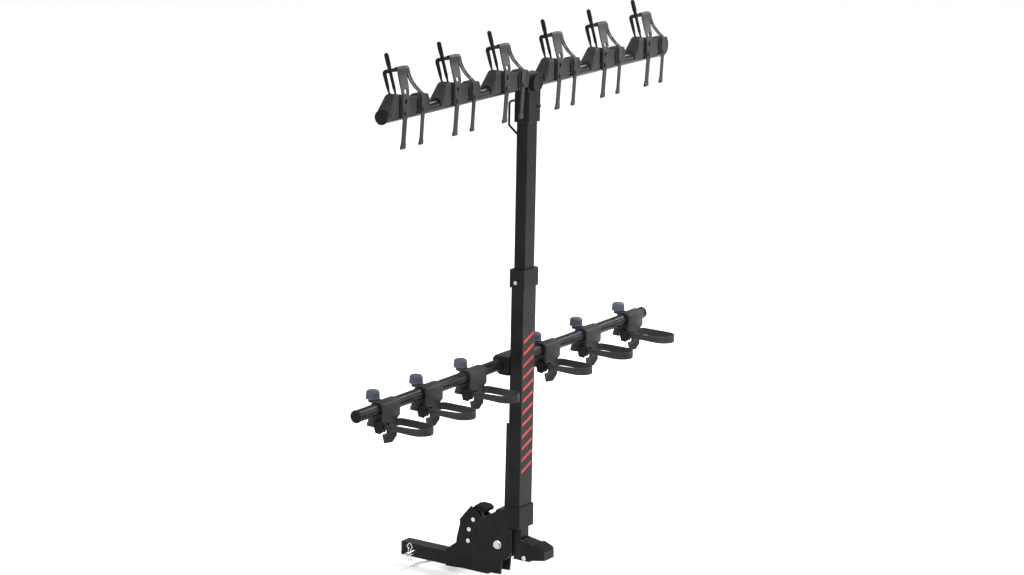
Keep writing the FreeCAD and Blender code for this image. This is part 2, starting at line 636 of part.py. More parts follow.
def makeBarBracket():
    face = mastY + dim.lowerDeep / 2 + dim.seatGap
    back = barY + dim.lowerBarRadius + dim.saddleWall
    tall = dim.saddleTall
    points = [(face, barZ - tall - 10), (barY, barZ - tall - 10), (back, barZ - tall + 8), (back, barZ + tall - 8), (back - 10, barZ + tall + 4),
              (face, barZ + tall + 4)]
    solid = outline("SaddleSolid", "YZ", points, -dim.saddleHalf, dim.saddleHalf)
    bore = rod("SaddleBore", dim.lowerBarRadius + 0.1, (-dim.saddleHalf - 1, barY, barZ), dim.saddleHalf * 2 + 2, "X")
    body = cut("Saddle", solid, [bore])
    heads = [rod(f"SaddleBolt{n}", 6.5, (x, back - 1, z), 6, "Y") for n, (x, z) in enumerate(
        [(-dim.saddleHalf + 14, barZ - 12), (dim.saddleHalf - 14, barZ - 12), (-dim.saddleHalf + 14, barZ + 12), (dim.saddleHalf - 14, barZ + 12)])]
    return node(fuse("BarBracket", [body] + heads), "bar_bracket")


# ---------- upper mast, head and top bar ----------

topY = mastY + dim.topBarAhead
topZ = dim.topBarUp
upperTop = topZ - dim.topBarRadius - dim.barSeat


def makeUpperMast():
    return node(boxTube("UpperMast", dim.upperWide, dim.upperDeep, dim.mastWall, dim.upperFoot, upperTop, mastY), "upper_mast")


headFace = topY - dim.topBarRadius - dim.headCapGap - dim.headCapDeep


def makeHeadBracket():
    half = dim.headHalf
    wall = dim.headWall
    deep = dim.upperDeep / 2 + wall
    sleeve = block("HeadSleeve", (-half, mastY - deep, dim.headLow), (half, mastY + deep, upperTop + 3))
    sleeve = roundEdges("HeadSleeveRound", sleeve, 4, isUpright)
    points = [(mastY - deep, upperTop - 2), (mastY + deep, upperTop - 2), (mastY + deep - 2, topZ + 14), (mastY + 12, topZ + 32),
              (mastY - deep + 4, topZ + 32), (mastY - deep, topZ + 20)]
    saddle = outline("HeadSaddle", "YZ", points, -half - 5, half + 5)
    boss = rod("HeadBoss", dim.headCapRadius - 4, (0, headFace, topZ), mastY - deep + 4 - headFace, "Y")
    room = block("HeadRoom", (-dim.upperWide / 2 - 0.2, mastY - dim.upperDeep / 2 - 0.2, dim.headLow - 1),
                 (dim.upperWide / 2 + 0.2, mastY + dim.upperDeep / 2 + 0.2, upperTop + 0.2))
    bore = rod("HeadBore", dim.topBarRadius + 0.1, (-half - 20, topY, topZ), half * 2 + 40, "X")
    bolt = rod("HeadBoltNear", 6.5, (dim.headHalf - 12, mastY - deep - 5, topZ - 86), 7, "Y")
    sideBolt = rod("HeadBoltSide", 6.5, (-dim.headHalf - 5, mastY, dim.headLow + 30), 7, "X")
    return node(cut("HeadBracket", fuse("HeadSolid", [sleeve, saddle, boss, bolt, sideBolt]), [room, bore]), "head_bracket")


def makeHeadCap():
    disc = rod("HeadCapDisc", dim.headCapRadius, (0, headFace - 8, topZ), 8, "Y")
    rim = rod("HeadCapDish", dim.headCapRadius - 5, (0, headFace - 10, topZ), 4, "Y")
    skirt = rod("HeadCapSkirt", dim.headCapRadius, (0, headFace, topZ), dim.headCapDeep, "Y")
    hollow = rod("HeadCapHollow", dim.headCapRadius - 3.9, (0, headFace, topZ), dim.headCapDeep + 1, "Y")
    return node(cut("HeadCap", fuse("HeadCapSolid", [disc, skirt]), [rim, hollow]), "head_cap")


def makeLockLoop():
    back = (mastY + dim.upperDeep / 2).value
    low, high = dim.loopLow.value, dim.loopHigh.value
    wall = dim.headWall.value
    out = dim.loopReach.value
    corners = [Vector(0, back + wall + 1.4, high), Vector(0, back + out, high - 10),
               Vector(0, back + out, low + 40), Vector(0, back + 3.2, low + 2)]
    return node(shaped("LockLoop", bentBar(corners, 12.0, dim.loopRadius.value)), "lock_loop")


# ---------- fork cradles on the top bar ----------

def cradlePlaces():
    half = dim.cradleGap / 2
    return [side * (half + dim.cradlePitch * step) for side, step in ((-1, 2), (-1, 1), (-1, 0), (1, 0), (1, 1), (1, 2))]


cradleFloor = topZ - dim.cradleSink
cradleRoof = topZ + dim.cradleTall
frontY = topY - dim.topBarRadius - dim.cradleWall


def makeCradleBase(number, x):
    name = f"Cradle{number}"
    left, right = x - dim.cradleLeft, x + dim.cradleRight
    roof, floor = cradleRoof, cradleFloor
    face = [(left, floor), (right - 4, floor), (right + 4, floor + 18), (right, floor + 42), (right - 6, floor + 54),
            (x + 76, floor + 54), (x + 66, floor + 48), (x + 46, floor + 56), (x - 32, roof - 5), (x - 34, roof),
            (left + 26, roof), (left + 16, roof - 8), (left, floor + 8)]
    slab = outline(name + "Slab", "XZ", face, frontY, topY + dim.cradleBack)
    lean = [(frontY, floor), (topY + dim.cradleBack, floor), (topY + dim.cradleBack, floor + 56),
            (topY + dim.cradleBack - 4, roof + 2), (frontY + 4, roof + 2), (frontY, roof - 10)]
    profile = outline(name + "Profile", "YZ", lean, left - 5, right + 10)
    common = doc.addObject("Part::MultiCommon", name + "Blank")
    common.Shapes = [slab, profile]
    tools = [rod(name + "Bore", dim.topBarRadius + 0.1, (left - 10, topY, topZ), dim.cradleLeft + dim.cradleRight + 30, "X")]
    for side, end in (("Left", -dim.topBarHalf - 60), ("Right", dim.topBarHalf)):
        start = end - dim.seatGap if side == "Right" else end
        room = dim.topBarRadius + dim.capLip + dim.seatGap
        tools.append(rod(name + side + "CapRoom", room, (start, topY, topZ), 60 + dim.seatGap, "X"))
    for slot, place in enumerate((x - 51, x + 47)):
        corner = (place + dim.cradleSlot, frontY + dim.cradleSlotDeep, roof + 5)
        tools.append(block(f"{name}Slot{slot}", (place, frontY - 1, floor - 1), corner))
    for spot, (dx, ahead, deep) in enumerate(rodFeet()):
        tools.append(rod(f"{name}Socket{spot}", dim.rodRadius + 0.1, footPoint(x + dx, deep, ahead), 90, turn=leanTurn))
    studs = []
    for spot, dx in enumerate((dim.wideStud, dim.sideStud)):
        height = topZ + 4
        studs.append(rod(f"{name}Stud{spot}", dim.studRadius, (x + dx, frontY - 7, height), 9, "Y"))
        studs.append(rod(f"{name}StudHead{spot}", dim.studHead, (x + dx, frontY - 10, height), 4, "Y"))
    return node(fuse(name, [cut(name + "Block", common, tools)] + studs), f"cradle_base_{number}")


leanTurn = Rotation(Vector(1, 0, 0), -dim.rodLean.value)
footY = topY - 1


# the tall rod stands in front of the bail's plane
def rodFeet():
    return [(dim.tallRodSide, -dim.tallRodAhead, dim.rodSocket), (dim.bailLeft, sized(0), dim.rodSocket),
            (dim.bailRight, sized(0), dim.rightSocket)]


# a point on the leaning plane of the rods, a distance along it from the cradle's roof
def footPoint(x, along, ahead=0):
    return (x, footY + ahead + sine(dim.rodLean) * along, cradleRoof + cosine(dim.rodLean) * along)


def vector(point):
    return Vector(*[sized(v).value for v in point])


def makeTuskRods():
    rods = []
    for number, x in enumerate(cradlePlaces(), start=1):
        length = dim.tallRod - 6 - dim.rodSocket
        foot = footPoint(x + dim.tallRodSide, dim.rodSocket, -dim.tallRodAhead)
        rods.append(rod(f"TallRod{number}", dim.rodRadius, foot, length, turn=leanTurn))
        corners = [vector(footPoint(x + dx, along)) for dx, along in (
            (dim.bailLeft, dim.rodSocket), (dim.bailLeft, dim.bailTall), (dim.bailRight, dim.bailTall), (dim.bailRight, dim.rightSocket))]
        rods.append(shaped(f"Bail{number}", bentBar(corners, dim.bailBend.value, dim.rodRadius.value)))
    return node(together("TuskRods", rods), "tusk_rods")


def makeTuskSleeves():
    sleeves = []
    outer = dim.rodRadius + dim.sleeveWall
    for number, x in enumerate(cradlePlaces(), start=1):
        def along(distance):
            return footPoint(x + dim.tallRodSide, distance, -dim.tallRodAhead)

        shaft = rod(f"SleeveShaft{number}", outer, along(12), dim.tallRod - 12, turn=leanTurn)
        gripLow = dim.tallRod - dim.gripSleeveTall
        grip = rod(f"SleeveGrip{number}", dim.gripSleeve, along(gripLow), dim.gripSleeveTall, turn=leanTurn)
        tip = ball(f"SleeveTip{number}", dim.gripSleeve, along(dim.tallRod))
        hole = rod(f"SleeveHole{number}", dim.rodRadius + 0.1, along(0), dim.tallRod - 6, turn=leanTurn)
        sleeves.append(cut(f"TallSleeve{number}", fuse(f"TallSleeveSolid{number}", [shaft, grip, tip]), [hole]))
        straight = dim.bailTall - dim.bailBend - 12
        legHole = rod(f"LegSleeveHole{number}", dim.rodRadius + 0.1, footPoint(x + dim.bailLeft, 5), dim.bailTall, turn=leanTurn)
        leg = rod(f"LegSleeveSolid{number}", outer, footPoint(x + dim.bailLeft, 12), straight, turn=leanTurn)
        sleeves.append(cut(f"LegSleeve{number}", leg, [legHole]))
    return node(together("TuskSleeves", sleeves), "tusk_sleeves")


def strapBand(name, route, widths, studX, studZ):
    thick = dim.strapThick.value
    solid = band([vector(point) for point in route], widths, thick)
    hole = Part.makeCylinder(dim.studRadius.value + 0.3, 20, Vector(studX, frontY.value - 12, studZ), Vector(0, 1, 0))
    return shaped(name, solid.cut(hole))


def makeStraps():
    straps = []
    thick = dim.strapThick
    out = frontY - dim.seatGap - thick / 2
    over = dim.rodRadius + dim.seatGap + thick / 2
    studZ = topZ + 4
    top, foot, tail, side = (v.value for v in (dim.wideStrapTop, dim.wideStrapFoot, dim.tailWide, dim.sideStrap))
    for number, x in enumerate(cradlePlaces(), start=1):
        bar = footPoint(x + 17, dim.bailTall)
        low = studZ - dim.tailDrop
        hung = x + dim.wideStud
        route = [
            (bar[0], bar[1] + over, bar[2] - 9), (bar[0], bar[1] + over, bar[2]), (bar[0], bar[1] + over * 0.7, bar[2] + over * 0.75),
            (bar[0], bar[1], bar[2] + over + 0.4), (bar[0] - 3, bar[1] - over - 2, bar[2] + 3.5), (x + 9, bar[1] - 16, bar[2] - 18),
            (x - 3, topY - 11, topZ + 96), (x - 17, out + 2.5, topZ + 71), (hung, out - 0.2, topZ + 58), (hung, out, studZ + 12),
            (hung, out, studZ - 12), (hung - 2, out, studZ - 26), (hung - 7, out + 1, low + 16), (hung - 9, out + 1.5, low)]
        widths = [top * 0.8, top, top, top, top, top, top, (top + foot) / 2, foot, (tail + foot) / 2, (tail + foot) / 2,
                  tail, tail, tail * 1.3]
        straps.append(strapBand(f"WideStrap{number}", route, widths, hung.value, studZ.value))
        right = x + dim.sideStud
        route = [
            (x + 50, bar[1] + 3, bar[2] + 4), (x + 50, bar[1] - 6, bar[2] - 2), (x + 52, topY + 7, topZ + 112),
            (x + 56, topY - 11, topZ + 84), (x + 68, out + 1.5, topZ + 62), (right, out - 0.2, topZ + 48), (right, out, studZ + 12),
            (right, out, studZ - 12), (right - 2, out, studZ - 26), (right - 6, out + 1, low + 16), (right - 8, out + 1.5, low)]
        thin = dim.sideTail.value
        widths = [side, side, side, side, side, side * 1.15, side * 1.15, side * 1.15, thin, thin, thin * 1.35]
        straps.append(strapBand(f"SideStrap{number}", route, widths, right.value, studZ.value))
    return node(together("CradleStraps", straps), "cradle_straps")


# ---------- wheel clamps on the lower bar ----------

clampPlaces = (dim.clampPlace1, dim.clampPlace2, dim.clampPlace3, dim.clampPlace4, dim.clampPlace5,
               dim.clampPlace6)
boltY = barY + dim.flangeReach


def makeClamp(number, x):
    name = f"Clamp{number}"
    half = dim.clampHalf
    front, back = barY - dim.clampFront, barY + dim.clampBack
    top, low = barZ + dim.clampUp, barZ - dim.clampDown
    profile = [(front, low), (back, low), (back, barZ + 20), (barY + 14, top - 4), (front + 12, top), (front, top - 10)]
    jaw = outline(name + "Jaw", "YZ", profile, x - half, x + half)
    flangeTop = barZ + dim.flangeUp + dim.flangeThick
    upper = block(name + "Upper", (x - dim.flangeHalf, barY, flangeTop - dim.flangeThick), (x + dim.flangeHalf, boltY, flangeTop))
    upperEnd = rod(name + "UpperEnd", dim.flangeHalf, (x, boltY, flangeTop - dim.flangeThick), dim.flangeThick)
    deep = barZ - dim.flangeDown
    lower = block(name + "Lower", (x - dim.flangeHalf, barY, deep), (x + dim.flangeHalf, boltY, deep + dim.flangeThick))
    lowerEnd = rod(name + "LowerEnd", dim.flangeHalf, (x, boltY, deep), dim.flangeThick)
    buckleFront = front + 4
    buckle = block(name + "Buckle", (x - dim.buckleHalf - 8, buckleFront, barZ - dim.buckleDown), (x + dim.buckleHalf - 6, barY + 12, low + 2))
    buckleLow = barZ - dim.buckleDown
    centre = x + dim.leverSide
    ears = block(name + "Ears", (centre - 16, leverY - 6, leverZ - 6.5), (centre + 16, leverY + 7, buckleLow + 1))
    pocket = block(name + "LeverPocket", (centre - 9, leverY - 7, leverZ - 10), (centre + 9, leverY + 8, buckleLow))
    solid = fuse(name + "Solid", [jaw, upper, upperEnd, lower, lowerEnd, buckle, ears])
    bore = rod(name + "Bore", dim.lowerBarRadius + dim.seatGap, (x - half - 1, barY, barZ), half * 2 + 2, "X")
    slit = block(name + "Slit", (x - half - 1, barY, barZ - 6), (x + half + 1, back + 1, barZ + 2))
    hole = rod(name + "BoltHole", dim.boltRadius + dim.runGap, (x, boltY, deep - 1), flangeTop - deep + 2)
    hinge = rod(name + "HingeHole", dim.hingeRadius + dim.runGap, (x - half, leverY, leverZ), half * 2, "X")
    body = cut(name + "Body", solid, [bore, slit, hole, hinge, pocket])
    nutLow = deep - dim.nutTall
    nut = block(name + "NutBlock", (x - dim.nutHalf, boltY - dim.nutHalf, nutLow), (x + dim.nutHalf, boltY + dim.nutHalf, deep))
    nut = roundEdges(name + "NutRound", nut, 6, isUpright)
    nut = cut(name + "Nut", nut, [rod(name + "NutHole", dim.boltRadius + dim.runGap, (x, boltY, nutLow - 1), dim.nutTall + 2)])
    return node(together(name, [body, nut]), f"wheel_clamp_{number}")


leverY = barY - dim.clampFront + 10
leverZ = barZ - dim.buckleDown - dim.leverDrop


def makeKnob(number, x):
    name = f"Knob{number}"
    seat = barZ + dim.flangeUp + dim.flangeThick + dim.seatGap
    neck = rod(name + "Neck", dim.knobNeck, (x, boltY, seat), 8)
    skirt = cone(name + "Skirt", dim.knobRadius, dim.knobRadius - 3, (x, boltY, seat + 6), dim.knobTall - 8)
    cap = cone(name + "Cap", dim.knobRadius - 3, dim.knobRadius - 10, (x, boltY, seat + dim.knobTall - 2), 4)
    boltLength = dim.flangeUp + dim.flangeDown + dim.flangeThick + dim.nutTall * 0.8
    bolt = rod(name + "Bolt", dim.boltRadius, (x, boltY, seat + 2 - boltLength), boltLength)
    return node(fuse(name, [neck, skirt, cap, bolt]), f"clamp_knob_{number}")


def makeLoopStrap(number, x):
    name = f"LoopStrap{number}"
    half = dim.loopHalf
    thick = dim.bandThick
    back = barY - dim.clampFront + 4 - dim.seatGap
    front = back - dim.loopDeep
    low = barZ - dim.bandLow
    middle = x + dim.loopSide

    def ring(label, inset):
        h = half - inset
        b, f = back - inset, front + inset
        points = [(middle - h + 14, b), (middle + h - 14, b), (middle + h, b - 20), (middle + h, f + 46), (middle + h * 0.86, f + 22),
                  (middle + h * 0.52, f + 6), (middle, f), (middle - h * 0.52, f + 6), (middle - h * 0.86, f + 22), (middle - h, f + 46),
                  (middle - h, b - 20)]
        return outline(label, "XY", points, low - inset, low + dim.bandTall + inset)

    solid = cut(name, ring(name + "Outer", sized(0)), [ring(name + "Inner", thick)])
    return node(solid, f"wheel_strap_{number}")


def makeLever(number, x):
    name = f"Lever{number}"
    half = dim.leverHalf
    centre = x + dim.leverSide
    drop = leverZ - dim.leverTall
    face = leverY
    thick = dim.leverThick
    points = [(centre - half, leverZ - 14), (centre + half, leverZ - 14), (centre + half, leverZ - 30), (centre + half - 26, drop),
              (centre - half + 12, drop + 4)]
    paddle = outline(name + "Paddle", "XZ", points, face - 6, face - 6 + thick)
    neck = block(name + "Neck", (centre - 8, face - 6, leverZ - 16), (centre + 8, face, leverZ))
    barrel = rod(name + "Barrel", 6, (centre - 8, face, leverZ), 16, "X")
    pin = rod(name + "Pin", dim.hingeRadius, (centre - 17, face, leverZ), 34, "X")
    return node(fuse(name, [paddle, neck, barrel, pin]), f"buckle_lever_{number}")


makeTongue()
makeBasePlates()
makeSector()
makeRivets()
makeStopBlock()
makeHitchPin()
makeHitchClip()
makePivotBolt()
makeMastBracket()
makeLowerMast()
makeMastFoot()
makeBottomCollar()
makeMidCollar()
makeMastBolts()
makePedalSpring()
makePedal()
makePedalGrip()
makeLockBar()
node(makeTube("LowerBar", dim.lowerBarRadius, dim.barWall, dim.lowerBarHalf, barY, barZ), "lower_bar")
makeBarCaps("LowerBarCaps", "lower_bar_caps", dim.lowerBarRadius, dim.barWall, dim.capLip / 2, dim.lowerBarHalf, barY, barZ)
makeBarBracket()
makeUpperMast()
makeHeadBracket()
makeHeadCap()
makeLockLoop()
node(makeTube("TopBar", dim.topBarRadius, dim.barWall, dim.topBarHalf, topY, topZ), "top_bar")
makeBarCaps("TopBarCaps", "top_bar_caps", dim.topBarRadius, dim.barWall, dim.capLip, dim.topBarHalf, topY, topZ)
for number, x in enumerate(cradlePlaces(), start=1):
    makeCradleBase(number, x)
makeTuskRods()
makeTuskSleeves()
makeStraps()
for number, x in enumerate(clampPlaces, start=1):
    makeClamp(number, x)
    makeKnob(number, x)
    makeLoopStrap(number, x)
    makeLever(number, x)

doc.recompute()

for item in doc.Objects:
    if "Invalid" in item.State or "Error" in item.State:
        raise RuntimeError(f"{item.Name} did not rebuild: {item.State}")

for item in nodes:
    if item.Shape.isNull() or not item.Shape.isValid():
        raise RuntimeError(f"{item.Label} has no valid shape")

os.makedirs("parts", exist_ok=True)
for item in nodes:
    item.Shape.exportStep(f"parts/{item.Label}.step")
print(len(nodes), "nodes")
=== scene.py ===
import json
import math
import bmesh
import bpy
from mathutils import Matrix, Vector


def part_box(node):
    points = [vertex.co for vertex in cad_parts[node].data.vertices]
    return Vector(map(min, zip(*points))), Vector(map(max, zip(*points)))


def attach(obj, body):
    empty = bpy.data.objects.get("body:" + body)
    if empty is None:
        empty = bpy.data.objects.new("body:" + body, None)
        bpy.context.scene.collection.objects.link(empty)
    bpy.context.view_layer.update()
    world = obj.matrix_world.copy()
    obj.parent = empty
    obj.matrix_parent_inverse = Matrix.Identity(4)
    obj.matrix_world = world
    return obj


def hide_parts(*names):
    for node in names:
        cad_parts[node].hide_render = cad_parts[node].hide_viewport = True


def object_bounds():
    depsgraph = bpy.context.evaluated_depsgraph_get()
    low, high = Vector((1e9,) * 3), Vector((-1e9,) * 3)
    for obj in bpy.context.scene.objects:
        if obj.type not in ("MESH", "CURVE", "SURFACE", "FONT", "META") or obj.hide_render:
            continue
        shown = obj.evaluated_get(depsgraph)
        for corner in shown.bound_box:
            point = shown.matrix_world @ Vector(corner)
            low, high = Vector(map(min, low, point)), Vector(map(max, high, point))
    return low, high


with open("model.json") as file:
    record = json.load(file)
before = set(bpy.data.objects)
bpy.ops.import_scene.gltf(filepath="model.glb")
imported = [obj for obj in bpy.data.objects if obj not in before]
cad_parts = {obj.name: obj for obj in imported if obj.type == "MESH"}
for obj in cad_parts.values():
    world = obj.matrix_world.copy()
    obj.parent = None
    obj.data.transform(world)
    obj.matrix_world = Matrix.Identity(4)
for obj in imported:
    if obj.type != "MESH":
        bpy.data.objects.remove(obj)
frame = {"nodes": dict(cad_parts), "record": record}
cadLow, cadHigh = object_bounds()
nodes = frame["nodes"]
nodeBody = {node: body for body, owned in frame["record"]["behaviour"]["bodies"].items() for node in owned}
print("rack frame loaded:", len(nodes), "nodes")


class Signal:
    # an output socket that adds and multiplies like a number
    def __init__(self, finish, socket):
        self.finish = finish
        self.socket = socket

    def worked(self, operation, first, second):
        return self.finish.add("ShaderNodeMath", {"operation": operation}, {0: first, 1: second})

    def __add__(self, other):
        return self.worked("ADD", self, other)

    def __radd__(self, other):
        return self.worked("ADD", other, self)

    def __sub__(self, other):
        return self.worked("SUBTRACT", self, other)

    def __rsub__(self, other):
        return self.worked("SUBTRACT", other, self)

    def __mul__(self, other):
        return self.worked("MULTIPLY", self, other)

    def __rmul__(self, other):
        return self.worked("MULTIPLY", other, self)


class Finish:
    # one material, and the one way its nodes are made
    def __init__(self, name):
        self.material = bpy.data.materials.new(name)
        self.material.use_nodes = True
        self.tree = self.material.node_tree
        self.tree.nodes.clear()
        self.place = self.add("ShaderNodeTexCoord", {}, {}, "Object")

    def add(self, kind, settings, sockets, out=0):
        made = self.tree.nodes.new(kind)
        for key, value in settings.items():
            if key == "stops":
                self.setStops(made.color_ramp.elements, value)
            else:
                setattr(made, key, value)
        for key, value in sockets.items():
            if isinstance(value, Signal):
                self.tree.links.new(value.socket, made.inputs[key])
            else:
                made.inputs[key].default_value = value
        return Signal(self, made.outputs[out]) if made.outputs else None

    def setStops(self, elements, stops):
        while len(elements) < len(stops):
            elements.new(0.5)
        for element, (spot, shade) in zip(elements, stops):
            element.position = spot
            element.color = (shade, shade, shade, 1)

    def noise(self, scale, detail=2.0, rough=0.5):
        return self.add("ShaderNodeTexNoise", {},
                        {"Vector": self.place, "Scale": scale, "Detail": detail, "Roughness": rough})

    def ramp(self, value, *stops):
        return self.add("ShaderNodeValToRGB", {"stops": stops}, {0: value})

    def mix(self, factor, first, second):
        return self.add("ShaderNodeMix", {"data_type": "RGBA"}, {0: factor, 6: first, 7: second}, 2)

    def spread(self, value, low, high):
        return self.add("ShaderNodeMapRange", {}, {0: value, 3: low, 4: high})

    def rounded(self, reach):
        return self.add("ShaderNodeBevel", {"samples": 6}, {"Radius": reach})

    def edges(self, bent):
        # 1 where the rounded normal leaves the face, 0 on flats
        flat = self.add("ShaderNodeNewGeometry", {}, {}, "Normal")
        along = self.add("ShaderNodeVectorMath", {"operation": "DOT_PRODUCT"}, {0: bent, 1: flat}, "Value")
        return self.ramp(1 - along, (0.0, 0.0), (0.2, 1.0))

    def close(self, colour, rough, metal, height, depth, strength, gloss, bent=None):
        bump = {"Height": height, "Strength": strength, "Distance": depth}
        if bent is not None:
            bump["Normal"] = bent
        skin = {"Base Color": colour, "Roughness": rough, "Metallic": metal, "Specular IOR Level": gloss,
                "Normal": self.add("ShaderNodeBump", {}, bump)}
        surface = self.add("ShaderNodeBsdfPrincipled", {}, skin)
        self.add("ShaderNodeOutputMaterial", {}, {"Surface": surface})
        return self.material


# each look's edge colour is a painted highlight, which coated() lays on rounded edges
steelLook = {"colour": (0.0075, 0.0075, 0.0078, 1), "dusty": (0.012, 0.012, 0.0124, 1),
             "edge": (0.15, 0.15, 0.152, 1), "smooth": 0.22, "dull": 0.36,
             "peel": 650, "peelDepth": 0.00007, "rounding": 0.0018, "gloss": 0.08}
greyLook = {"colour": (0.021, 0.021, 0.022, 1), "dusty": (0.034, 0.034, 0.035, 1),
            "edge": (0.20, 0.20, 0.203, 1), "smooth": 0.40, "dull": 0.60,
            "peel": 1700, "peelDepth": 0.00006, "rounding": 0.0012, "gloss": 0.09}
blackLook = {"colour": (0.007, 0.007, 0.0072, 1), "dusty": (0.012, 0.012, 0.0122, 1),
             "edge": (0.09, 0.09, 0.092, 1), "smooth": 0.36, "dull": 0.55,
             "peel": 1700, "peelDepth": 0.00006, "rounding": 0.0011, "gloss": 0.08}
blueLook = {"colour": (0.048, 0.053, 0.076, 1), "dusty": (0.070, 0.077, 0.108, 1),
            "edge": (0.24, 0.25, 0.31, 1), "smooth": 0.36, "dull": 0.55,
            "peel": 1600, "peelDepth": 0.00006, "rounding": 0.0010, "gloss": 0.15}
strapLook = {"colour": (0.018, 0.018, 0.0185, 1), "dusty": (0.030, 0.030, 0.031, 1),
             "edge": (0.17, 0.17, 0.173, 1), "smooth": 0.34, "dull": 0.52,
             "peel": 1300, "peelDepth": 0.00005, "rounding": 0.0009, "gloss": 0.11}
rubberLook = {"colour": (0.006, 0.006, 0.006, 1), "dusty": (0.011, 0.011, 0.011, 1),
              "edge": (0.05, 0.05, 0.05, 1), "smooth": 0.55, "dull": 0.80,
              "peel": 900, "peelDepth": 0.0001, "rounding": 0.0010, "gloss": 0.07}
zincLook = {"colour": (0.60, 0.61, 0.63, 1), "dusty": (0.45, 0.46, 0.47, 1),
            "edge": (0.75, 0.76, 0.78, 1), "smooth": 0.18, "dull": 0.38,
            "peel": 400, "peelDepth": 0.00004, "rounding": 0.0006, "gloss": 0.5}
redLook = {"colour": (0.46, 0.012, 0.014, 1), "dusty": (0.36, 0.010, 0.012, 1),
           "edge": (0.5, 0.05, 0.05, 1), "smooth": 0.34, "dull": 0.50,
           "peel": 900, "peelDepth": 0.00004, "rounding": 0.0004, "gloss": 0.25}


def coated(name, look, metal=0.0):
    skin = Finish(name)
    bent = skin.rounded(look["rounding"])
    cloud = skin.ramp(skin.noise(11, 4), (0.36, 0.0), (0.68, 1.0))
    speck = skin.noise(230, 2)
    # painted highlight: rounded edges are lightened towards the edge colour, broken into patches by noise
    paintedEdgeHighlight = skin.edges(bent) * skin.ramp(skin.noise(45, 3), (0.30, 0.35), (0.62, 1.0))
    colour = skin.mix(paintedEdgeHighlight * 0.7, skin.mix(cloud, look["colour"], look["dusty"]), look["edge"])
    rough = skin.spread(cloud * 0.6 + speck * 0.5, look["smooth"], look["dull"])
    grain = skin.noise(look["peel"], 3, 0.45)
    return skin.close(colour, rough, metal, grain, look["peelDepth"], 0.5, look["gloss"], bent)


finishes = {
    "black_steel": coated("powderCoatBlack", steelLook),
    "grey_plastic": coated("nylonGrey", greyLook),
    "black_plastic": coated("nylonBlack", blackLook),
    "blue_plastic": coated("nylonBlueGrey", blueLook),
    "strap_plastic": coated("strapPolymer", strapLook),
    "rubber": coated("rubberMatt", rubberLook),
    "zinc_steel": coated("zincPlate", zincLook, 1.0),
    "red_film": coated("stripeFilm", redLook),
}
for part in frame["record"]["subparts"]:
    held = nodes[part["node"]]
    finish = finishes[part["material_slot"]]
    if held.material_slots:
        for each in held.material_slots:
            each.material = finish
    else:
        held.data.materials.append(finish)
print("finishes on the steel and plastic")


mm = 0.001
sharpFrom = 35


def finished(name, shape, finish, body, replaced=(), at=(0, 0, 0), uv=False):
    # shapes are drawn in millimetres round their own spot and placed in metres here
    if not uv:
        bmesh.ops.remove_doubles(shape, verts=shape.verts, dist=0.001)
        bmesh.ops.recalc_face_normals(shape, faces=shape.faces)
    bmesh.ops.scale(shape, verts=shape.verts, vec=(mm, mm, mm))
    bmesh.ops.translate(shape, verts=shape.verts, vec=at)
    mesh = bpy.data.meshes.new(name)
    shape.to_mesh(mesh)
    shape.free()
    for face in mesh.polygons:
        face.use_smooth = True
    mesh.set_sharp_from_angle(angle=math.radians(sharpFrom))
    mesh.materials.append(finishes[finish])
    piece = bpy.data.objects.new(name, mesh)
    bpy.context.scene.collection.objects.link(piece)
    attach(piece, body)
    if replaced:
        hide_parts(*replaced)
    return piece


def prism(shape, outline, axis, low, high):
    # an outline across axis, pulled along it
    spots = {"X": lambda a, b: (low, a, b), "Y": lambda a, b: (a, low, b), "Z": lambda a, b: (a, b, low)}
    ring = [shape.verts.new(spots[axis](*point)) for point in outline]
    pulled = bmesh.ops.extrude_face_region(shape, geom=[shape.faces.new(ring)])["geom"]
    moved = [v for v in pulled if isinstance(v, bmesh.types.BMVert)]
    along = Vector((axis == "X", axis == "Y", axis == "Z"))
    bmesh.ops.translate(shape, verts=moved, vec=along * (high - low))
    return ring + moved


def brick(shape, low, high):
    made = bmesh.ops.create_cube(shape, size=1)["verts"]
    low, high = Vector(low), Vector(high)
    bmesh.ops.scale(shape, verts=made, vec=high - low)
    bmesh.ops.translate(shape, verts=made, vec=(low + high) / 2)
    return made


def turned(shape, profile, steps, centre=(0, 0, 0), tilt=None):
    # a profile of (radius, height) spun round Z, then tilted and moved to centre
    old = set(shape.verts)
    path = [shape.verts.new((radius, 0, height)) for radius, height in profile]
    edges = [shape.edges.new(pair) for pair in zip(path, path[1:])]
    bmesh.ops.spin(shape, geom=path + edges, cent=(0, 0, 0), axis=(0, 0, 1), dvec=(0, 0, 0), angle=math.tau,
                   steps=steps, use_merge=True)
    made = [v for v in shape.verts if v not in old]
    bmesh.ops.remove_doubles(shape, verts=made, dist=0.0005)
    made = [v for v in shape.verts if v not in old]
    if tilt is not None:
        bmesh.ops.rotate(shape, verts=made, cent=(0, 0, 0), matrix=tilt)
    bmesh.ops.translate(shape, verts=made, vec=centre)
    return made


def cutAway(shape, verts, at, outward):
    # what lies on the outward side of a plane goes, and the cut is closed
    faces = list({face for v in verts for face in v.link_faces})
    edges = list({edge for face in faces for edge in face.edges})
    held = list({v for face in faces for v in face.verts})
    others = set(shape.verts) - set(held)
    cut = bmesh.ops.bisect_plane(shape, geom=held + edges + faces, plane_co=at, plane_no=outward,
                                 clear_outer=True)
    rim = [g for g in cut["geom_cut"] if isinstance(g, bmesh.types.BMEdge)]
    bmesh.ops.edgeloop_fill(shape, edges=rim)
    return [v for v in shape.verts if v not in others]


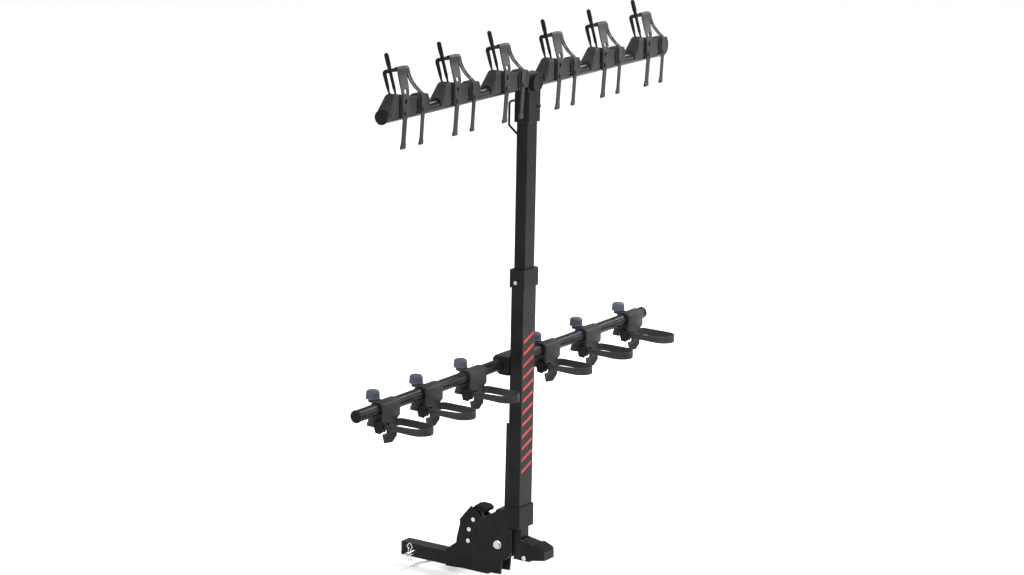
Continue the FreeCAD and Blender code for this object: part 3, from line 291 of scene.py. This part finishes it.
def soften(shape, width, segments=2, angle=30, verts=None):
    chosen = None if verts is None else set(verts)
    edges = [e for e in shape.edges if len(e.link_faces) == 2 and e.calc_face_angle(0) > math.radians(angle)
             and (chosen is None or (e.verts[0] in chosen and e.verts[1] in chosen))]
    bmesh.ops.bevel(shape, geom=edges, offset=width, affect="EDGES", segments=segments, profile=0.5,
                    material=-1, clamp_overlap=True)


def tilted(degrees, axis="X"):
    return Matrix.Rotation(math.radians(degrees), 3, axis)


def arc(radius, start, sweep, steps):
    turns = [math.radians(start + sweep * k / steps) for k in range(steps + 1)]
    return [(radius * math.cos(a), radius * math.sin(a)) for a in turns]


def midpoint(node):
    low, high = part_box(node)
    return (low + high) / 2


def added(shape, old):
    return [v for v in shape.verts if v not in old]


def walk(route, widths, spacing):
    # even steps along a smooth line through the route: (point, width, distance)
    line, spans = [], []
    for n in range(len(route) - 1):
        before, here = Vector(route[max(n - 1, 0)]), Vector(route[n])
        there, after = Vector(route[n + 1]), Vector(route[min(n + 2, len(route) - 1)])
        for k in range(12):
            t = k / 12
            line.append(0.5 * (2 * here + (there - before) * t
                               + (2 * before - 5 * here + 4 * there - after) * t * t
                               + (3 * here - before - 3 * there + after) * t ** 3))
            spans.append(widths[n] + (widths[n + 1] - widths[n]) * t)
    line.append(Vector(route[-1]))
    spans.append(widths[-1])
    steps, gone, due = [(line[0], spans[0], 0.0)], 0.0, spacing
    for first, second, wide, wider in zip(line, line[1:], spans, spans[1:]):
        length = (second - first).length
        while gone + length >= due:
            share = (due - gone) / length
            steps.append((first.lerp(second, share), wide + (wider - wide) * share, due))
            due += spacing
        gone += length
    if gone - steps[-1][2] > spacing * 0.3:
        steps.append((line[-1], spans[-1], gone))
    return steps


def strip(shape, steps, across, shares, isOpen=lambda point: False):
    # a flat band pulled along the steps; the middle column stays open where a slot is
    across = Vector(across)
    sheet = shape.loops.layers.uv.verify()
    places = {}
    row = [shape.verts.new(steps[0][0] + across * steps[0][1] * share) for share in shares]
    places.update({v: (share * steps[0][1], 0.0) for v, share in zip(row, shares)})
    rungs = []
    for point, width, distance in steps[1:]:
        edges = [shape.edges.get(pair) or shape.edges.new(pair) for pair in zip(row, row[1:])]
        pulled = bmesh.ops.extrude_edge_only(shape, edges=edges)["geom"]
        row = [v for v in pulled if isinstance(v, bmesh.types.BMVert)]
        row.sort(key=lambda v: v.co.dot(across))
        for v, share in zip(row, shares):
            v.co = point + across * width * share
            places[v] = (share * width, distance)
        faces = [shape.edges.get(pair).link_faces[0] for pair in zip(row, row[1:])]
        rungs.append((point, faces))
    centre = (len(shares) - 1) // 2
    holes = [faces[centre] for point, faces in rungs if isOpen(point)]
    for point, faces in rungs:
        for face in faces:
            for corner in face.loops:
                corner[sheet].uv = Vector(places[corner.vert]) * mm
    bmesh.ops.delete(shape, geom=holes, context="FACES_ONLY")
    return [(point, [face for face in faces if face.is_valid]) for point, faces in rungs]


def thickened(piece, thick, edge):
    wall = piece.modifiers.new("wall", "SOLIDIFY")
    wall.thickness = thick
    wall.offset = 0
    lip = piece.modifiers.new("lip", "BEVEL")
    lip.width = edge
    lip.segments = 2
    lip.angle_limit = math.radians(50)


topAxis = midpoint("top_bar")
lowAxis = midpoint("lower_bar")
cradleLeft = 0.106
cradleX = [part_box(f"cradle_base_{n}")[0].x + cradleLeft for n in range(1, 7)]
clampX = [midpoint(f"wheel_clamp_{n}").x for n in range(1, 7)]

# lobes are (left, right, low, roof, cuts), a cut being a point and the outward side, both across and up
cradle = {"front": -27, "linkBehind": 8, "back": 12, "bore": 22.5, "round": 1.5, "panel": 2.6,
          "panelDeep": 0.9, "studs": ((-20, 4), (80, 4)), "ridges": ((-98, -82), (-92, -76)),
          "lobes": ((-107, -52, -3, 70, (((-107, 2), (-64, 26)), ((-82, 64), (-6, 8)))),
                    (-33, 47, -12, 70, (((-32, 66), (15, 78)),)),
                    (64, 122, -8, 70, (((76, 52), (0, 1)), ((66, 46), (-6, 10)), ((112, 52), (12, 6)),
                                       ((114, -8), (18, -8))))),
          "links": ((-101, -36, 0, 67, (((-104, 2), (-64, 26)), ((-79, 62), (-6, 8)))),
                    (-42, 110, -2, 45, (((104, 40), (12, 6)),)))}


def saddleProfile(front, low, roof, back, bore):
    # seen from the side: a block that sits over the bar and reaches down in front of it
    start = math.acos(back / bore)
    end = math.pi + math.asin(-low / bore)
    turns = [start + (end - start) * k / 12 for k in range(13)]
    over = [(bore * math.cos(a), bore * math.sin(a)) for a in turns]
    above = [(front, low), (front, roof - 10), (front + 4, roof), (back - 4, roof), (back, roof - 14),
             (back + 13, 16)]
    return [(back + 13, 4)] + over[2:] + above


def lobe(shape, left, right, low, roof, cuts, look, front):
    made = prism(shape, saddleProfile(front, low, roof, look["back"], look["bore"]), "X", left, right)
    for at, outward in cuts:
        made = cutAway(shape, made, (at[0], 0, at[1]), (outward[0], 0, outward[1]))
    skin = sorted({f for v in made for f in v.link_faces}, key=lambda f: f.calc_area())
    bmesh.ops.recalc_face_normals(shape, faces=skin)
    # the broad faces in view get a raised frame
    fronts = [f for f in skin if f.normal.y < -0.98 and f.calc_area() > 900]
    sides = [f for f in skin if abs(f.normal.x) > 0.8 and f.calc_area() > 1200 and f.normal.z > 0.1]
    if front == look["front"]:
        bmesh.ops.inset_individual(shape, faces=fronts + sides, thickness=look["panel"],
                                   depth=-look["panelDeep"])
    soften(shape, look["round"], 2, 38, [v for v in made if v.is_valid])


def makeCradles(look):
    for number, x in enumerate(cradleX, start=1):
        shape = bmesh.new()
        front = look["front"]
        for left, right, low, roof, cuts in look["lobes"]:
            lobe(shape, left, right, low, roof, cuts, look, front)
        for left, right, low, roof, cuts in look["links"]:
            lobe(shape, left, right, low, roof, cuts, look, front + look["linkBehind"])
        for low, high in look["ridges"]:
            ridge = [(low, 1), (low + 1.8, 1), (high + 1.8, 60), (high, 60)]
            prism(shape, ridge, "Y", front - 0.5, front + 2)
        for across, up in look["studs"]:
            dome = [(0, 4.2), (3.4, 3.9), (6.2, 2.6), (7.7, 0.9), (8, 0), (7.6, -0.8), (4, -1), (4, -8),
                    (0, -8)]
            turned(shape, dome, 24, (across, front - 6.2, up), tilted(90))
        finished(f"cradleBase{number}", shape, "grey_plastic", "upper", [f"cradle_base_{number}"],
                 at=(x, topAxis.y, topAxis.z))
    print("six fork cradles")


strapSizes = {"thick": 4, "lip": 0.8, "step": 5, "barX": 17, "barUp": 74, "wide": 46, "foot": 34, "side": 19,
              "tail": 22, "sideTail": 18, "studX": -20, "sideX": 80, "drop": 114}


def alongLean(x, up, ahead=0.0, lean=17.0):
    # a point on the leaning plane of the rods, above the cradle's roof
    angle = math.radians(lean)
    return (x, -1 + ahead + math.sin(angle) * up, 70 + math.cos(angle) * up)


def makeCradleStraps(look):
    shape = bmesh.new()
    out = -27 - 0.3 - look["thick"] / 2
    over = 3.5 + 0.3 + look["thick"] / 2
    low = 4 - look["drop"]
    for x in cradleX:
        old = set(shape.verts)
        # the wide strap, over the crossbar and down to its stud and tail
        w, y, z = alongLean(look["barX"], look["barUp"])
        hung = look["studX"]
        route = [(w, y + over, z - 9), (w, y + over, z), (w, y + over * 0.7, z + over * 0.75),
                 (w, y, z + over + 0.4), (w - 3, y - over - 2, z + 3.5), (9, y - 16, z - 18),
                 (-3, -11, 96), (-17, out + 2.5, 71), (hung, out - 0.2, 58), (hung, out, 16),
                 (hung, out, -8), (hung - 2, out, -22), (hung - 7, out + 1, low + 24),
                 (hung - 8, out + 1.3, low + 12), (hung - 9, out + 1.5, low)]
        wide, foot, tail, side = look["wide"], look["foot"], look["tail"], look["side"]
        widths = [wide * 0.8, wide, wide, wide, wide, wide, wide, (wide + foot) / 2, foot, 30, 28,
                  tail, tail, tail * 1.25, tail * 1.32]
        steps = walk(route, widths, look["step"])
        strip(shape, steps, (1, 0, 0), (-0.5, -0.38, -0.16, 0.16, 0.38, 0.5),
              lambda p: 66 < p.z < 80 and p.y < -10 or 30 < p.z < 46)
        # the side strap
        right = look["sideX"]
        route = [(50, y + 3, z + 4), (50, y - 6, z - 2), (52, 7, 112), (56, -11, 84), (68, out + 1.5, 62),
                 (right, out - 0.2, 48), (right, out, 16), (right, out, -8), (right - 2, out, -22),
                 (right - 6, out + 1, low + 24), (right - 7, out + 1.3, low + 12),
                 (right - 8, out + 1.5, low)]
        thin = look["sideTail"]
        widths = [side, side, side, side, side, side * 1.15, side * 1.15, side * 1.15, thin, thin,
                  thin * 1.25, thin * 1.35]
        steps = walk(route, widths, look["step"])
        strip(shape, steps, (1, 0, 0), (-0.5, -0.38, -0.14, 0.14, 0.38, 0.5),
              lambda p: 98 < p.z < 118 or 70 < p.z < 90)
        bmesh.ops.translate(shape, verts=added(shape, old), vec=((x - topAxis.x) / mm, 0, 0))
    bmesh.ops.recalc_face_normals(shape, faces=shape.faces)
    straps = finished("cradleStraps", shape, "strap_plastic", "upper", ["cradle_straps"], at=topAxis,
                      uv=True)
    thickened(straps, look["thick"] * mm, look["lip"] * mm)
    # rounded pull tabs on the tails
    shape = bmesh.new()
    for x in cradleX:
        for across, wide in ((look["studX"] - 9, look["tail"] * 1.36),
                             (look["sideX"] - 8, look["sideTail"] * 1.4)):
            tab = brick(shape, (-wide / 2, -3.2, -3), (wide / 2, 3.2, 9))
            bmesh.ops.translate(shape, verts=tab, vec=((x - topAxis.x) / mm + across, out + 1.5, low))
            ends = [v for v in tab if v.co.z < low]
            bmesh.ops.scale(shape, verts=ends, vec=(1, 0.7, 1), space=Matrix.Translation((0, -out - 1.5, 0)))
    soften(shape, 2.6, 3)
    finished("strapTabs", shape, "strap_plastic", "upper", at=topAxis)
    print("cradle straps")


sleeves = {"tall": 130, "grip": 7.6, "neck": 4.3, "body": 5.4, "lean": 17, "tallX": -58, "tallAhead": -16,
           "bailX": -70, "legUp": (11, 18, 24, 46, 60, 66),
           "corner": ((1.5, 72), (7, 74), (16, 74), (44, 74), (56, 74)),
           "bailRadii": (4.0, 4.3, 5.6, 6.0, 6.4, 6.8, 7.0, 6.9, 6.7, 6.4, 6.2)}


def makeSleeves(look):
    shape = bmesh.new()
    lean = tilted(-look["lean"])
    tall, grip, neck, body = look["tall"], look["grip"], look["neck"], look["body"]
    profile = [(neck - 0.9, 11), (neck, 12), (neck, 17), (body, 21), (body, 60), (body + 0.5, 78),
               (grip - 0.9, 92), (grip - 0.9, 93.5), (grip - 1.5, 94), (grip - 1.5, 95), (grip - 0.5, 95.6),
               (grip, 100), (grip, tall - 1), (grip * 0.93, tall + 3), (grip * 0.7, tall + 5.6),
               (grip * 0.38, tall + 7.2), (0, tall + 7.6)]
    for x in cradleX:
        shift = (x - topAxis.x) / mm
        foot = alongLean(look["tallX"] + shift, 0, look["tallAhead"])
        turned(shape, profile, 20, foot, lean)
        route = [alongLean(look["bailX"], up) for up in look["legUp"]]
        route += [alongLean(look["bailX"] + aside, up) for aside, up in look["corner"]]
        line = bpy.data.curves.new("bailSleeve", "CURVE")
        line.dimensions = "3D"
        line.bevel_depth = 1
        line.bevel_resolution = 4
        line.resolution_u = 3
        line.use_fill_caps = True
        spline = line.splines.new("NURBS")
        spline.points.add(len(route) - 1)
        for spot, place, radius in zip(spline.points, route, look["bailRadii"]):
            spot.co = (place[0] + shift, place[1], place[2], 1)
            spot.radius = radius
        spline.order_u = 3
        spline.use_endpoint_u = True
        held = bpy.data.objects.new("bailSleeve", line)
        bpy.context.scene.collection.objects.link(held)
        drawn = bpy.data.meshes.new_from_object(held.evaluated_get(bpy.context.evaluated_depsgraph_get()))
        shape.from_mesh(drawn)
        bpy.data.objects.remove(held)
        bpy.data.meshes.remove(drawn)
    finished("tuskSleeves", shape, "rubber", "upper", ["tusk_sleeves"], at=topAxis)
    print("rubber sleeves")


clampSizes = {"half": 47.5, "front": -32, "plate": -26, "foot": -52, "round": 1.8, "bore": 21.6,
              "flangeY": 48, "flangeHalf": 16, "flanges": ((8, 18, 4), (-62, -52, -10)),
              "tooth": 7, "teeth": 5}


def makeClamps(look):
    for number, x in enumerate(clampX, start=1):
        shape = bmesh.new()
        half = look["half"]
        bore = arc(look["bore"], 12, 168, 14)
        front, plate, foot = look["front"], look["plate"], look["foot"]
        outside = [(25, 4.5), (25, 12), (15, 21.5), (4, 26), (-14, 27), (front + 2, 20), (front, 15),
                   (front, foot), (plate, foot), (plate + 2, -14)]
        jaw = prism(shape, outside + bore[::-1], "X", -half, half)
        jaw = cutAway(shape, jaw, (12, 0, foot), (-10, 0, -59.5))
        jaw = cutAway(shape, jaw, (12, 0, foot), (20, 0, -38))
        bmesh.ops.recalc_face_normals(shape, faces=shape.faces)
        soften(shape, look["round"], 2, 38, jaw)
        # lower half of the grip and the buckle housing under it
        under = arc(look["bore"], 186, 162, 12)
        under += [(30, -2), (30, -34), (20, -42), (-14, -42), (-19, -34), (-23.5, -12)]
        old = set(shape.verts)
        prism(shape, under, "X", -30, 30)
        brick(shape, (-34, -20, -64), (22, 14, -38))
        brick(shape, (-28, -22, -80), (-20.5, -15, -60))
        brick(shape, (12.5, -22, -80), (20, -15, -60))
        soften(shape, 1.6, 2, 38, added(shape, old))
        # flanges for the knob's bolt, a nut pocket under the lower one
        reach = look["flangeHalf"]
        for low, high, root in look["flanges"]:
            old = set(shape.verts)
            ring = [(across, look["flangeY"] + ahead) for across, ahead in arc(reach, 0, 180, 12)]
            prism(shape, ring + [(-reach, root), (reach, root)], "Z", low, high)
            soften(shape, 1.2, 2, 50, added(shape, old))
        old = set(shape.verts)
        brick(shape, (-15, 33, -76), (15, 63, -60))
        soften(shape, 4, 3, 40, added(shape, old))
        # webs under the upper flange
        for side in (-13, 9):
            prism(shape, [(24, -30), (44, -30), (52, -52), (24, -52)], "X", side, side + 4)
            prism(shape, [(23, 9), (44, 9), (23, -4)], "X", side, side + 4)
        finished(f"wheelClamp{number}", shape, "grey_plastic", f"clamp_{number}", [f"wheel_clamp_{number}"],
                 at=(x, lowAxis.y, lowAxis.z))
        # toothed ratchet housing at the band's end
        shape = bmesh.new()
        teeth = [(-20, -42)]
        for k in range(look["teeth"]):
            down = k * look["tooth"]
            teeth += [(-20.5, -44 - down), (-27, -46 - down), (-27, -48 - down), (-20.5, -50 - down)]
        prism(shape, teeth + [(-17, -84), (4, -82), (10, -62), (8, -42)], "X", -47, -43)
        inner = [(ahead + 1, up) for ahead, up in teeth] + [(-16, -82), (4, -80), (10, -62), (8, -42)]
        prism(shape, inner, "X", -39.5, -36)
        brick(shape, (-45, -16, -60), (-37, 5, -46))
        soften(shape, 0.5, 1, 40)
        finished(f"ratchetComb{number}", shape, "black_plastic", f"clamp_{number}",
                 at=(x, lowAxis.y, lowAxis.z))
    print("six wheel clamps")


# the plan runs from the buckle round the loop and back, across and ahead of the clamp's middle
bandSizes = {"tall": 26, "thick": 3, "pitch": 2.6, "rib": 1.1, "height": -58, "ribsFrom": -60,
             "endTall": (25, 22, 20, 18, 16),
             "plan": ((-6, -23), (24, -23), (40, -25), (50, -34), (52.5, -50), (52.5, -94), (52, -136),
                      (46, -161), (30, -179), (8, -186), (-14, -179), (-30, -161), (-36, -136), (-36.5, -94),
                      (-37, -58), (-37, -36), (-36, -16))}


def makeBands(look):
    for number, x in enumerate(clampX, start=1):
        shape = bmesh.new()
        low = look["height"]
        route = [(across, ahead, low) for across, ahead in look["plan"]]
        talls = [look["tall"]] * (len(route) - len(look["endTall"])) + list(look["endTall"])
        steps = walk(route, talls, look["pitch"])
        rungs = strip(shape, steps, (0, 0, 1), (-0.5, -0.41, 0.41, 0.5))
        bmesh.ops.recalc_face_normals(shape, faces=shape.faces)
        centre = Vector((8, -90, low))
        inward = [f for f in shape.faces if (f.calc_center_median() - centre).dot(f.normal) < 0]
        if len(inward) > len(shape.faces) / 2:
            bmesh.ops.reverse_faces(shape, faces=shape.faces)
        ribs = [faces[1] for k, (point, faces) in enumerate(rungs) if k % 2 and point.y < look["ribsFrom"]]
        rims = [f for point, faces in rungs for f in (faces[0], faces[2])]
        bmesh.ops.solidify(shape, geom=list(shape.faces), thickness=look["thick"])
        ribs = [f for f in ribs if f.is_valid]
        bmesh.ops.inset_individual(shape, faces=ribs, thickness=0.25, depth=look["rib"])
        rims = [f for f in rims if f.is_valid]
        bmesh.ops.inset_region(shape, faces=rims, thickness=0.2, depth=look["rib"] * 0.7)
        finished(f"wheelBand{number}", shape, "strap_plastic", f"clamp_{number}", [f"wheel_strap_{number}"],
                 at=(x, lowAxis.y, lowAxis.z), uv=True)
    print("six ratchet bands")


knobSizes = {"rim": 24.3, "waist": 22.8, "top": 20.8, "ribs": 16, "proud": 1.1, "ahead": 0.048,
             "threads": 72, "threadPitch": 1.25}


def makeKnobs(look):
    for number, x in enumerate(clampX, start=1):
        shape = bmesh.new()
        rim, waist, top = look["rim"], look["waist"], look["top"]
        profile = [(0, 19.4), (7.6, 19.4), (7.8, 18.5), (9, 18.5), (9, 19.6), (11, 20.2), (rim - 1.6, 19.4),
                   (rim, 20.6), (rim, 23.4), (rim - 0.9, 24.6), (waist, 25.4), (waist - 0.3, 29),
                   (top + 1, 41), (top, 45.4), (top - 1.2, 47.3), (top - 4, 48.6), (top - 7, 49.2),
                   (top - 8, 48.5), (top - 14, 48.2), (0, 48.6)]
        made = turned(shape, profile, look["ribs"] * 4)
        for v in made:
            flat = Vector((v.co.x, v.co.y))
            if 25 < v.co.z < 46 and flat.length > top - 1:
                turn = round(math.atan2(flat.y, flat.x) / math.tau * look["ribs"] * 4) % 4
                grow = 1 + (look["proud"] if turn in (1, 2) else -look["proud"] * 0.6) / flat.length
                v.co.x *= grow
                v.co.y *= grow
        finished(f"clampKnob{number}", shape, "blue_plastic", f"knob_{number}", [f"clamp_knob_{number}"],
                 at=(x, lowAxis.y + look["ahead"], lowAxis.z))
        shape = bmesh.new()
        crests = [(4 if k % 2 else 3.5, 22 - k * look["threadPitch"]) for k in range(look["threads"])]
        turned(shape, [(0, 24)] + crests + [(3, -69), (0, -69)], 16)
        finished(f"knobBolt{number}", shape, "zinc_steel", f"knob_{number}",
                 at=(x, lowAxis.y + look["ahead"], lowAxis.z))
    print("six knobs")


leverSizes = {"half": 41, "rim": 2.5, "grips": 4, "gripPitch": 4.5, "hinge": (-0.004, -0.022, -0.0715)}


def makeLevers(look):
    for number, x in enumerate(clampX, start=1):
        shape = bmesh.new()
        half = look["half"]
        aside, ahead, up = look["hinge"]
        spot = (x + aside, lowAxis.y + ahead, lowAxis.z + up)
        paddle = [(-half, -12), (half, -12), (half, -32), (half - 26, -50), (-half + 12, -45)]
        prism(shape, paddle, "Y", -5.2, -1)
        bmesh.ops.recalc_face_normals(shape, faces=shape.faces)
        fronts = [f for f in shape.faces if f.normal.y < -0.9]
        bmesh.ops.inset_individual(shape, faces=fronts, thickness=look["rim"], depth=-1.0)
        for k in range(look["grips"]):
            rise = k * look["gripPitch"]
            brick(shape, (-half + 14 + k * 2, -5.8, -39 + rise), (half - 26 + k * 4, -3, -37.4 + rise))
        brick(shape, (-15.2, -5.8, -16), (15.2, -1, 1))
        soften(shape, 0.9, 2, 40)
        turned(shape, [(0, -8), (5.4, -8), (6, -7.4), (6, 7.4), (5.4, 8), (0, 8)], 24, tilt=tilted(90, "Y"))
        finished(f"buckleLever{number}", shape, "black_plastic", f"lever_{number}",
                 [f"buckle_lever_{number}"], at=spot)
        shape = bmesh.new()
        pin = [(0, -17), (2.6, -17), (3, -16.6), (3, 16.6), (2.6, 17), (0, 17)]
        turned(shape, pin, 20, tilt=tilted(90, "Y"))
        finished(f"leverPin{number}", shape, "zinc_steel", f"lever_{number}", at=spot)
    print("six buckle levers")


stripeSizes = {"low": 372, "high": 884, "pitch": 43, "half": 31, "bar": 11, "rise": 26, "proud": 0.25}


def makeStripes(look):
    # plain slanted stripes up the front face of the lower mast
    low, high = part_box("lower_mast")
    face = low.y / mm
    shape = bmesh.new()
    half, bar, rise = look["half"], look["bar"], look["rise"]
    up = look["low"]
    while up < look["high"]:
        prism(shape, [(-half, up), (half, up + rise), (half, up + rise + bar), (-half, up + bar)], "Y",
              face - look["proud"], face + 0.5)
        up += look["pitch"]
    finished("mastStripes", shape, "red_film", nodeBody["lower_mast"], at=((low.x + high.x) / 2, 0, 0))
    print("stripes on the lower mast")


makeStripes(stripeSizes)
makeCradles(cradle)
makeCradleStraps(strapSizes)
makeSleeves(sleeves)
makeClamps(clampSizes)
makeBands(bandSizes)
makeKnobs(knobSizes)
makeLevers(leverSizes)


studio = {"floorShade": (0.90, 0.90, 0.90, 1), "floorHalf": 60, "sky": (1.0, 1.0, 1.0, 1), "skyPower": 0.50,
          "sunPower": 2.9, "sunSpread": 16, "sunFrom": (-0.75, -0.20, 0.62),
          "stripLong": 7.0, "stripWide": 0.18,
          "strips": ((330, (4.2, -1.3, 3.8), 0.34), (150, (4.2, -3.0, 1.9), 1.1))}


def lamp(name, kind, settings, at, towards):
    light = bpy.data.lights.new(name, kind)
    for key, value in settings.items():
        setattr(light, key, value)
    held = bpy.data.objects.new(name, light)
    bpy.context.scene.collection.objects.link(held)
    held.location = at
    held.rotation_euler = (Vector(towards) - Vector(at)).to_track_quat("-Z", "Y").to_euler()
    return held


def makeStudio(look):
    ground = bmesh.new()
    bmesh.ops.create_grid(ground, x_segments=1, y_segments=1, size=look["floorHalf"])
    bmesh.ops.translate(ground, verts=ground.verts, vec=(0, 0, cadLow.z - 0.0005))
    mesh = bpy.data.meshes.new("studioFloor")
    ground.to_mesh(mesh)
    ground.free()
    floor = bpy.data.objects.new("studioFloor", mesh)
    bpy.context.scene.collection.objects.link(floor)
    skin = Finish("paleFloor")
    mesh.materials.append(skin.close(look["floorShade"], 0.9, 0.0, skin.noise(30), 0.0001, 0.1, 0.1))
    world = bpy.data.worlds.new("studioSky")
    world.use_nodes = True
    shade = world.node_tree.nodes["Background"]
    shade.inputs["Color"].default_value = look["sky"]
    shade.inputs["Strength"].default_value = look["skyPower"]
    bpy.context.scene.world = world
    middle = (cadLow + cadHigh) / 2
    lamp("softSun", "SUN", {"energy": look["sunPower"], "angle": math.radians(look["sunSpread"])},
         middle + Vector(look["sunFrom"]) * 4, middle)
    # long narrow lights beyond the right end draw the highlight lines on the bars
    long = {"shape": "RECTANGLE", "size": look["stripLong"], "size_y": look["stripWide"]}
    for number, (power, at, turn) in enumerate(look["strips"], start=1):
        light = lamp(f"barStrip{number}", "AREA", {**long, "energy": power}, at, middle)
        light.rotation_euler = (turn, 0, 0)


cameraSizes = {"lens": 116.02, "sensor": 36, "far": 200, "at": (-9.3845, -6.5294, 3.7110),
               "right": (0.55178, -0.83379, 0.01867), "up": (0.18369, 0.14334, 0.97247),
               "ahead": (0.81351, 0.53316, -0.23225)}


def makeCamera(look):
    lens = bpy.data.cameras.new("rackCamera")
    lens.lens = look["lens"]
    lens.sensor_width = look["sensor"]
    lens.clip_end = look["far"]
    held = bpy.data.objects.new("rackCamera", lens)
    bpy.context.scene.collection.objects.link(held)
    turn = Matrix((Vector(look["right"]), Vector(look["up"]), -Vector(look["ahead"]))).transposed().to_4x4()
    held.matrix_world = Matrix.Translation(look["at"]) @ turn
    bpy.context.scene.camera = held


makeStudio(studio)
makeCamera(cameraSizes)
bpy.context.scene.view_settings.view_transform = "Standard"
print("studio and camera set")
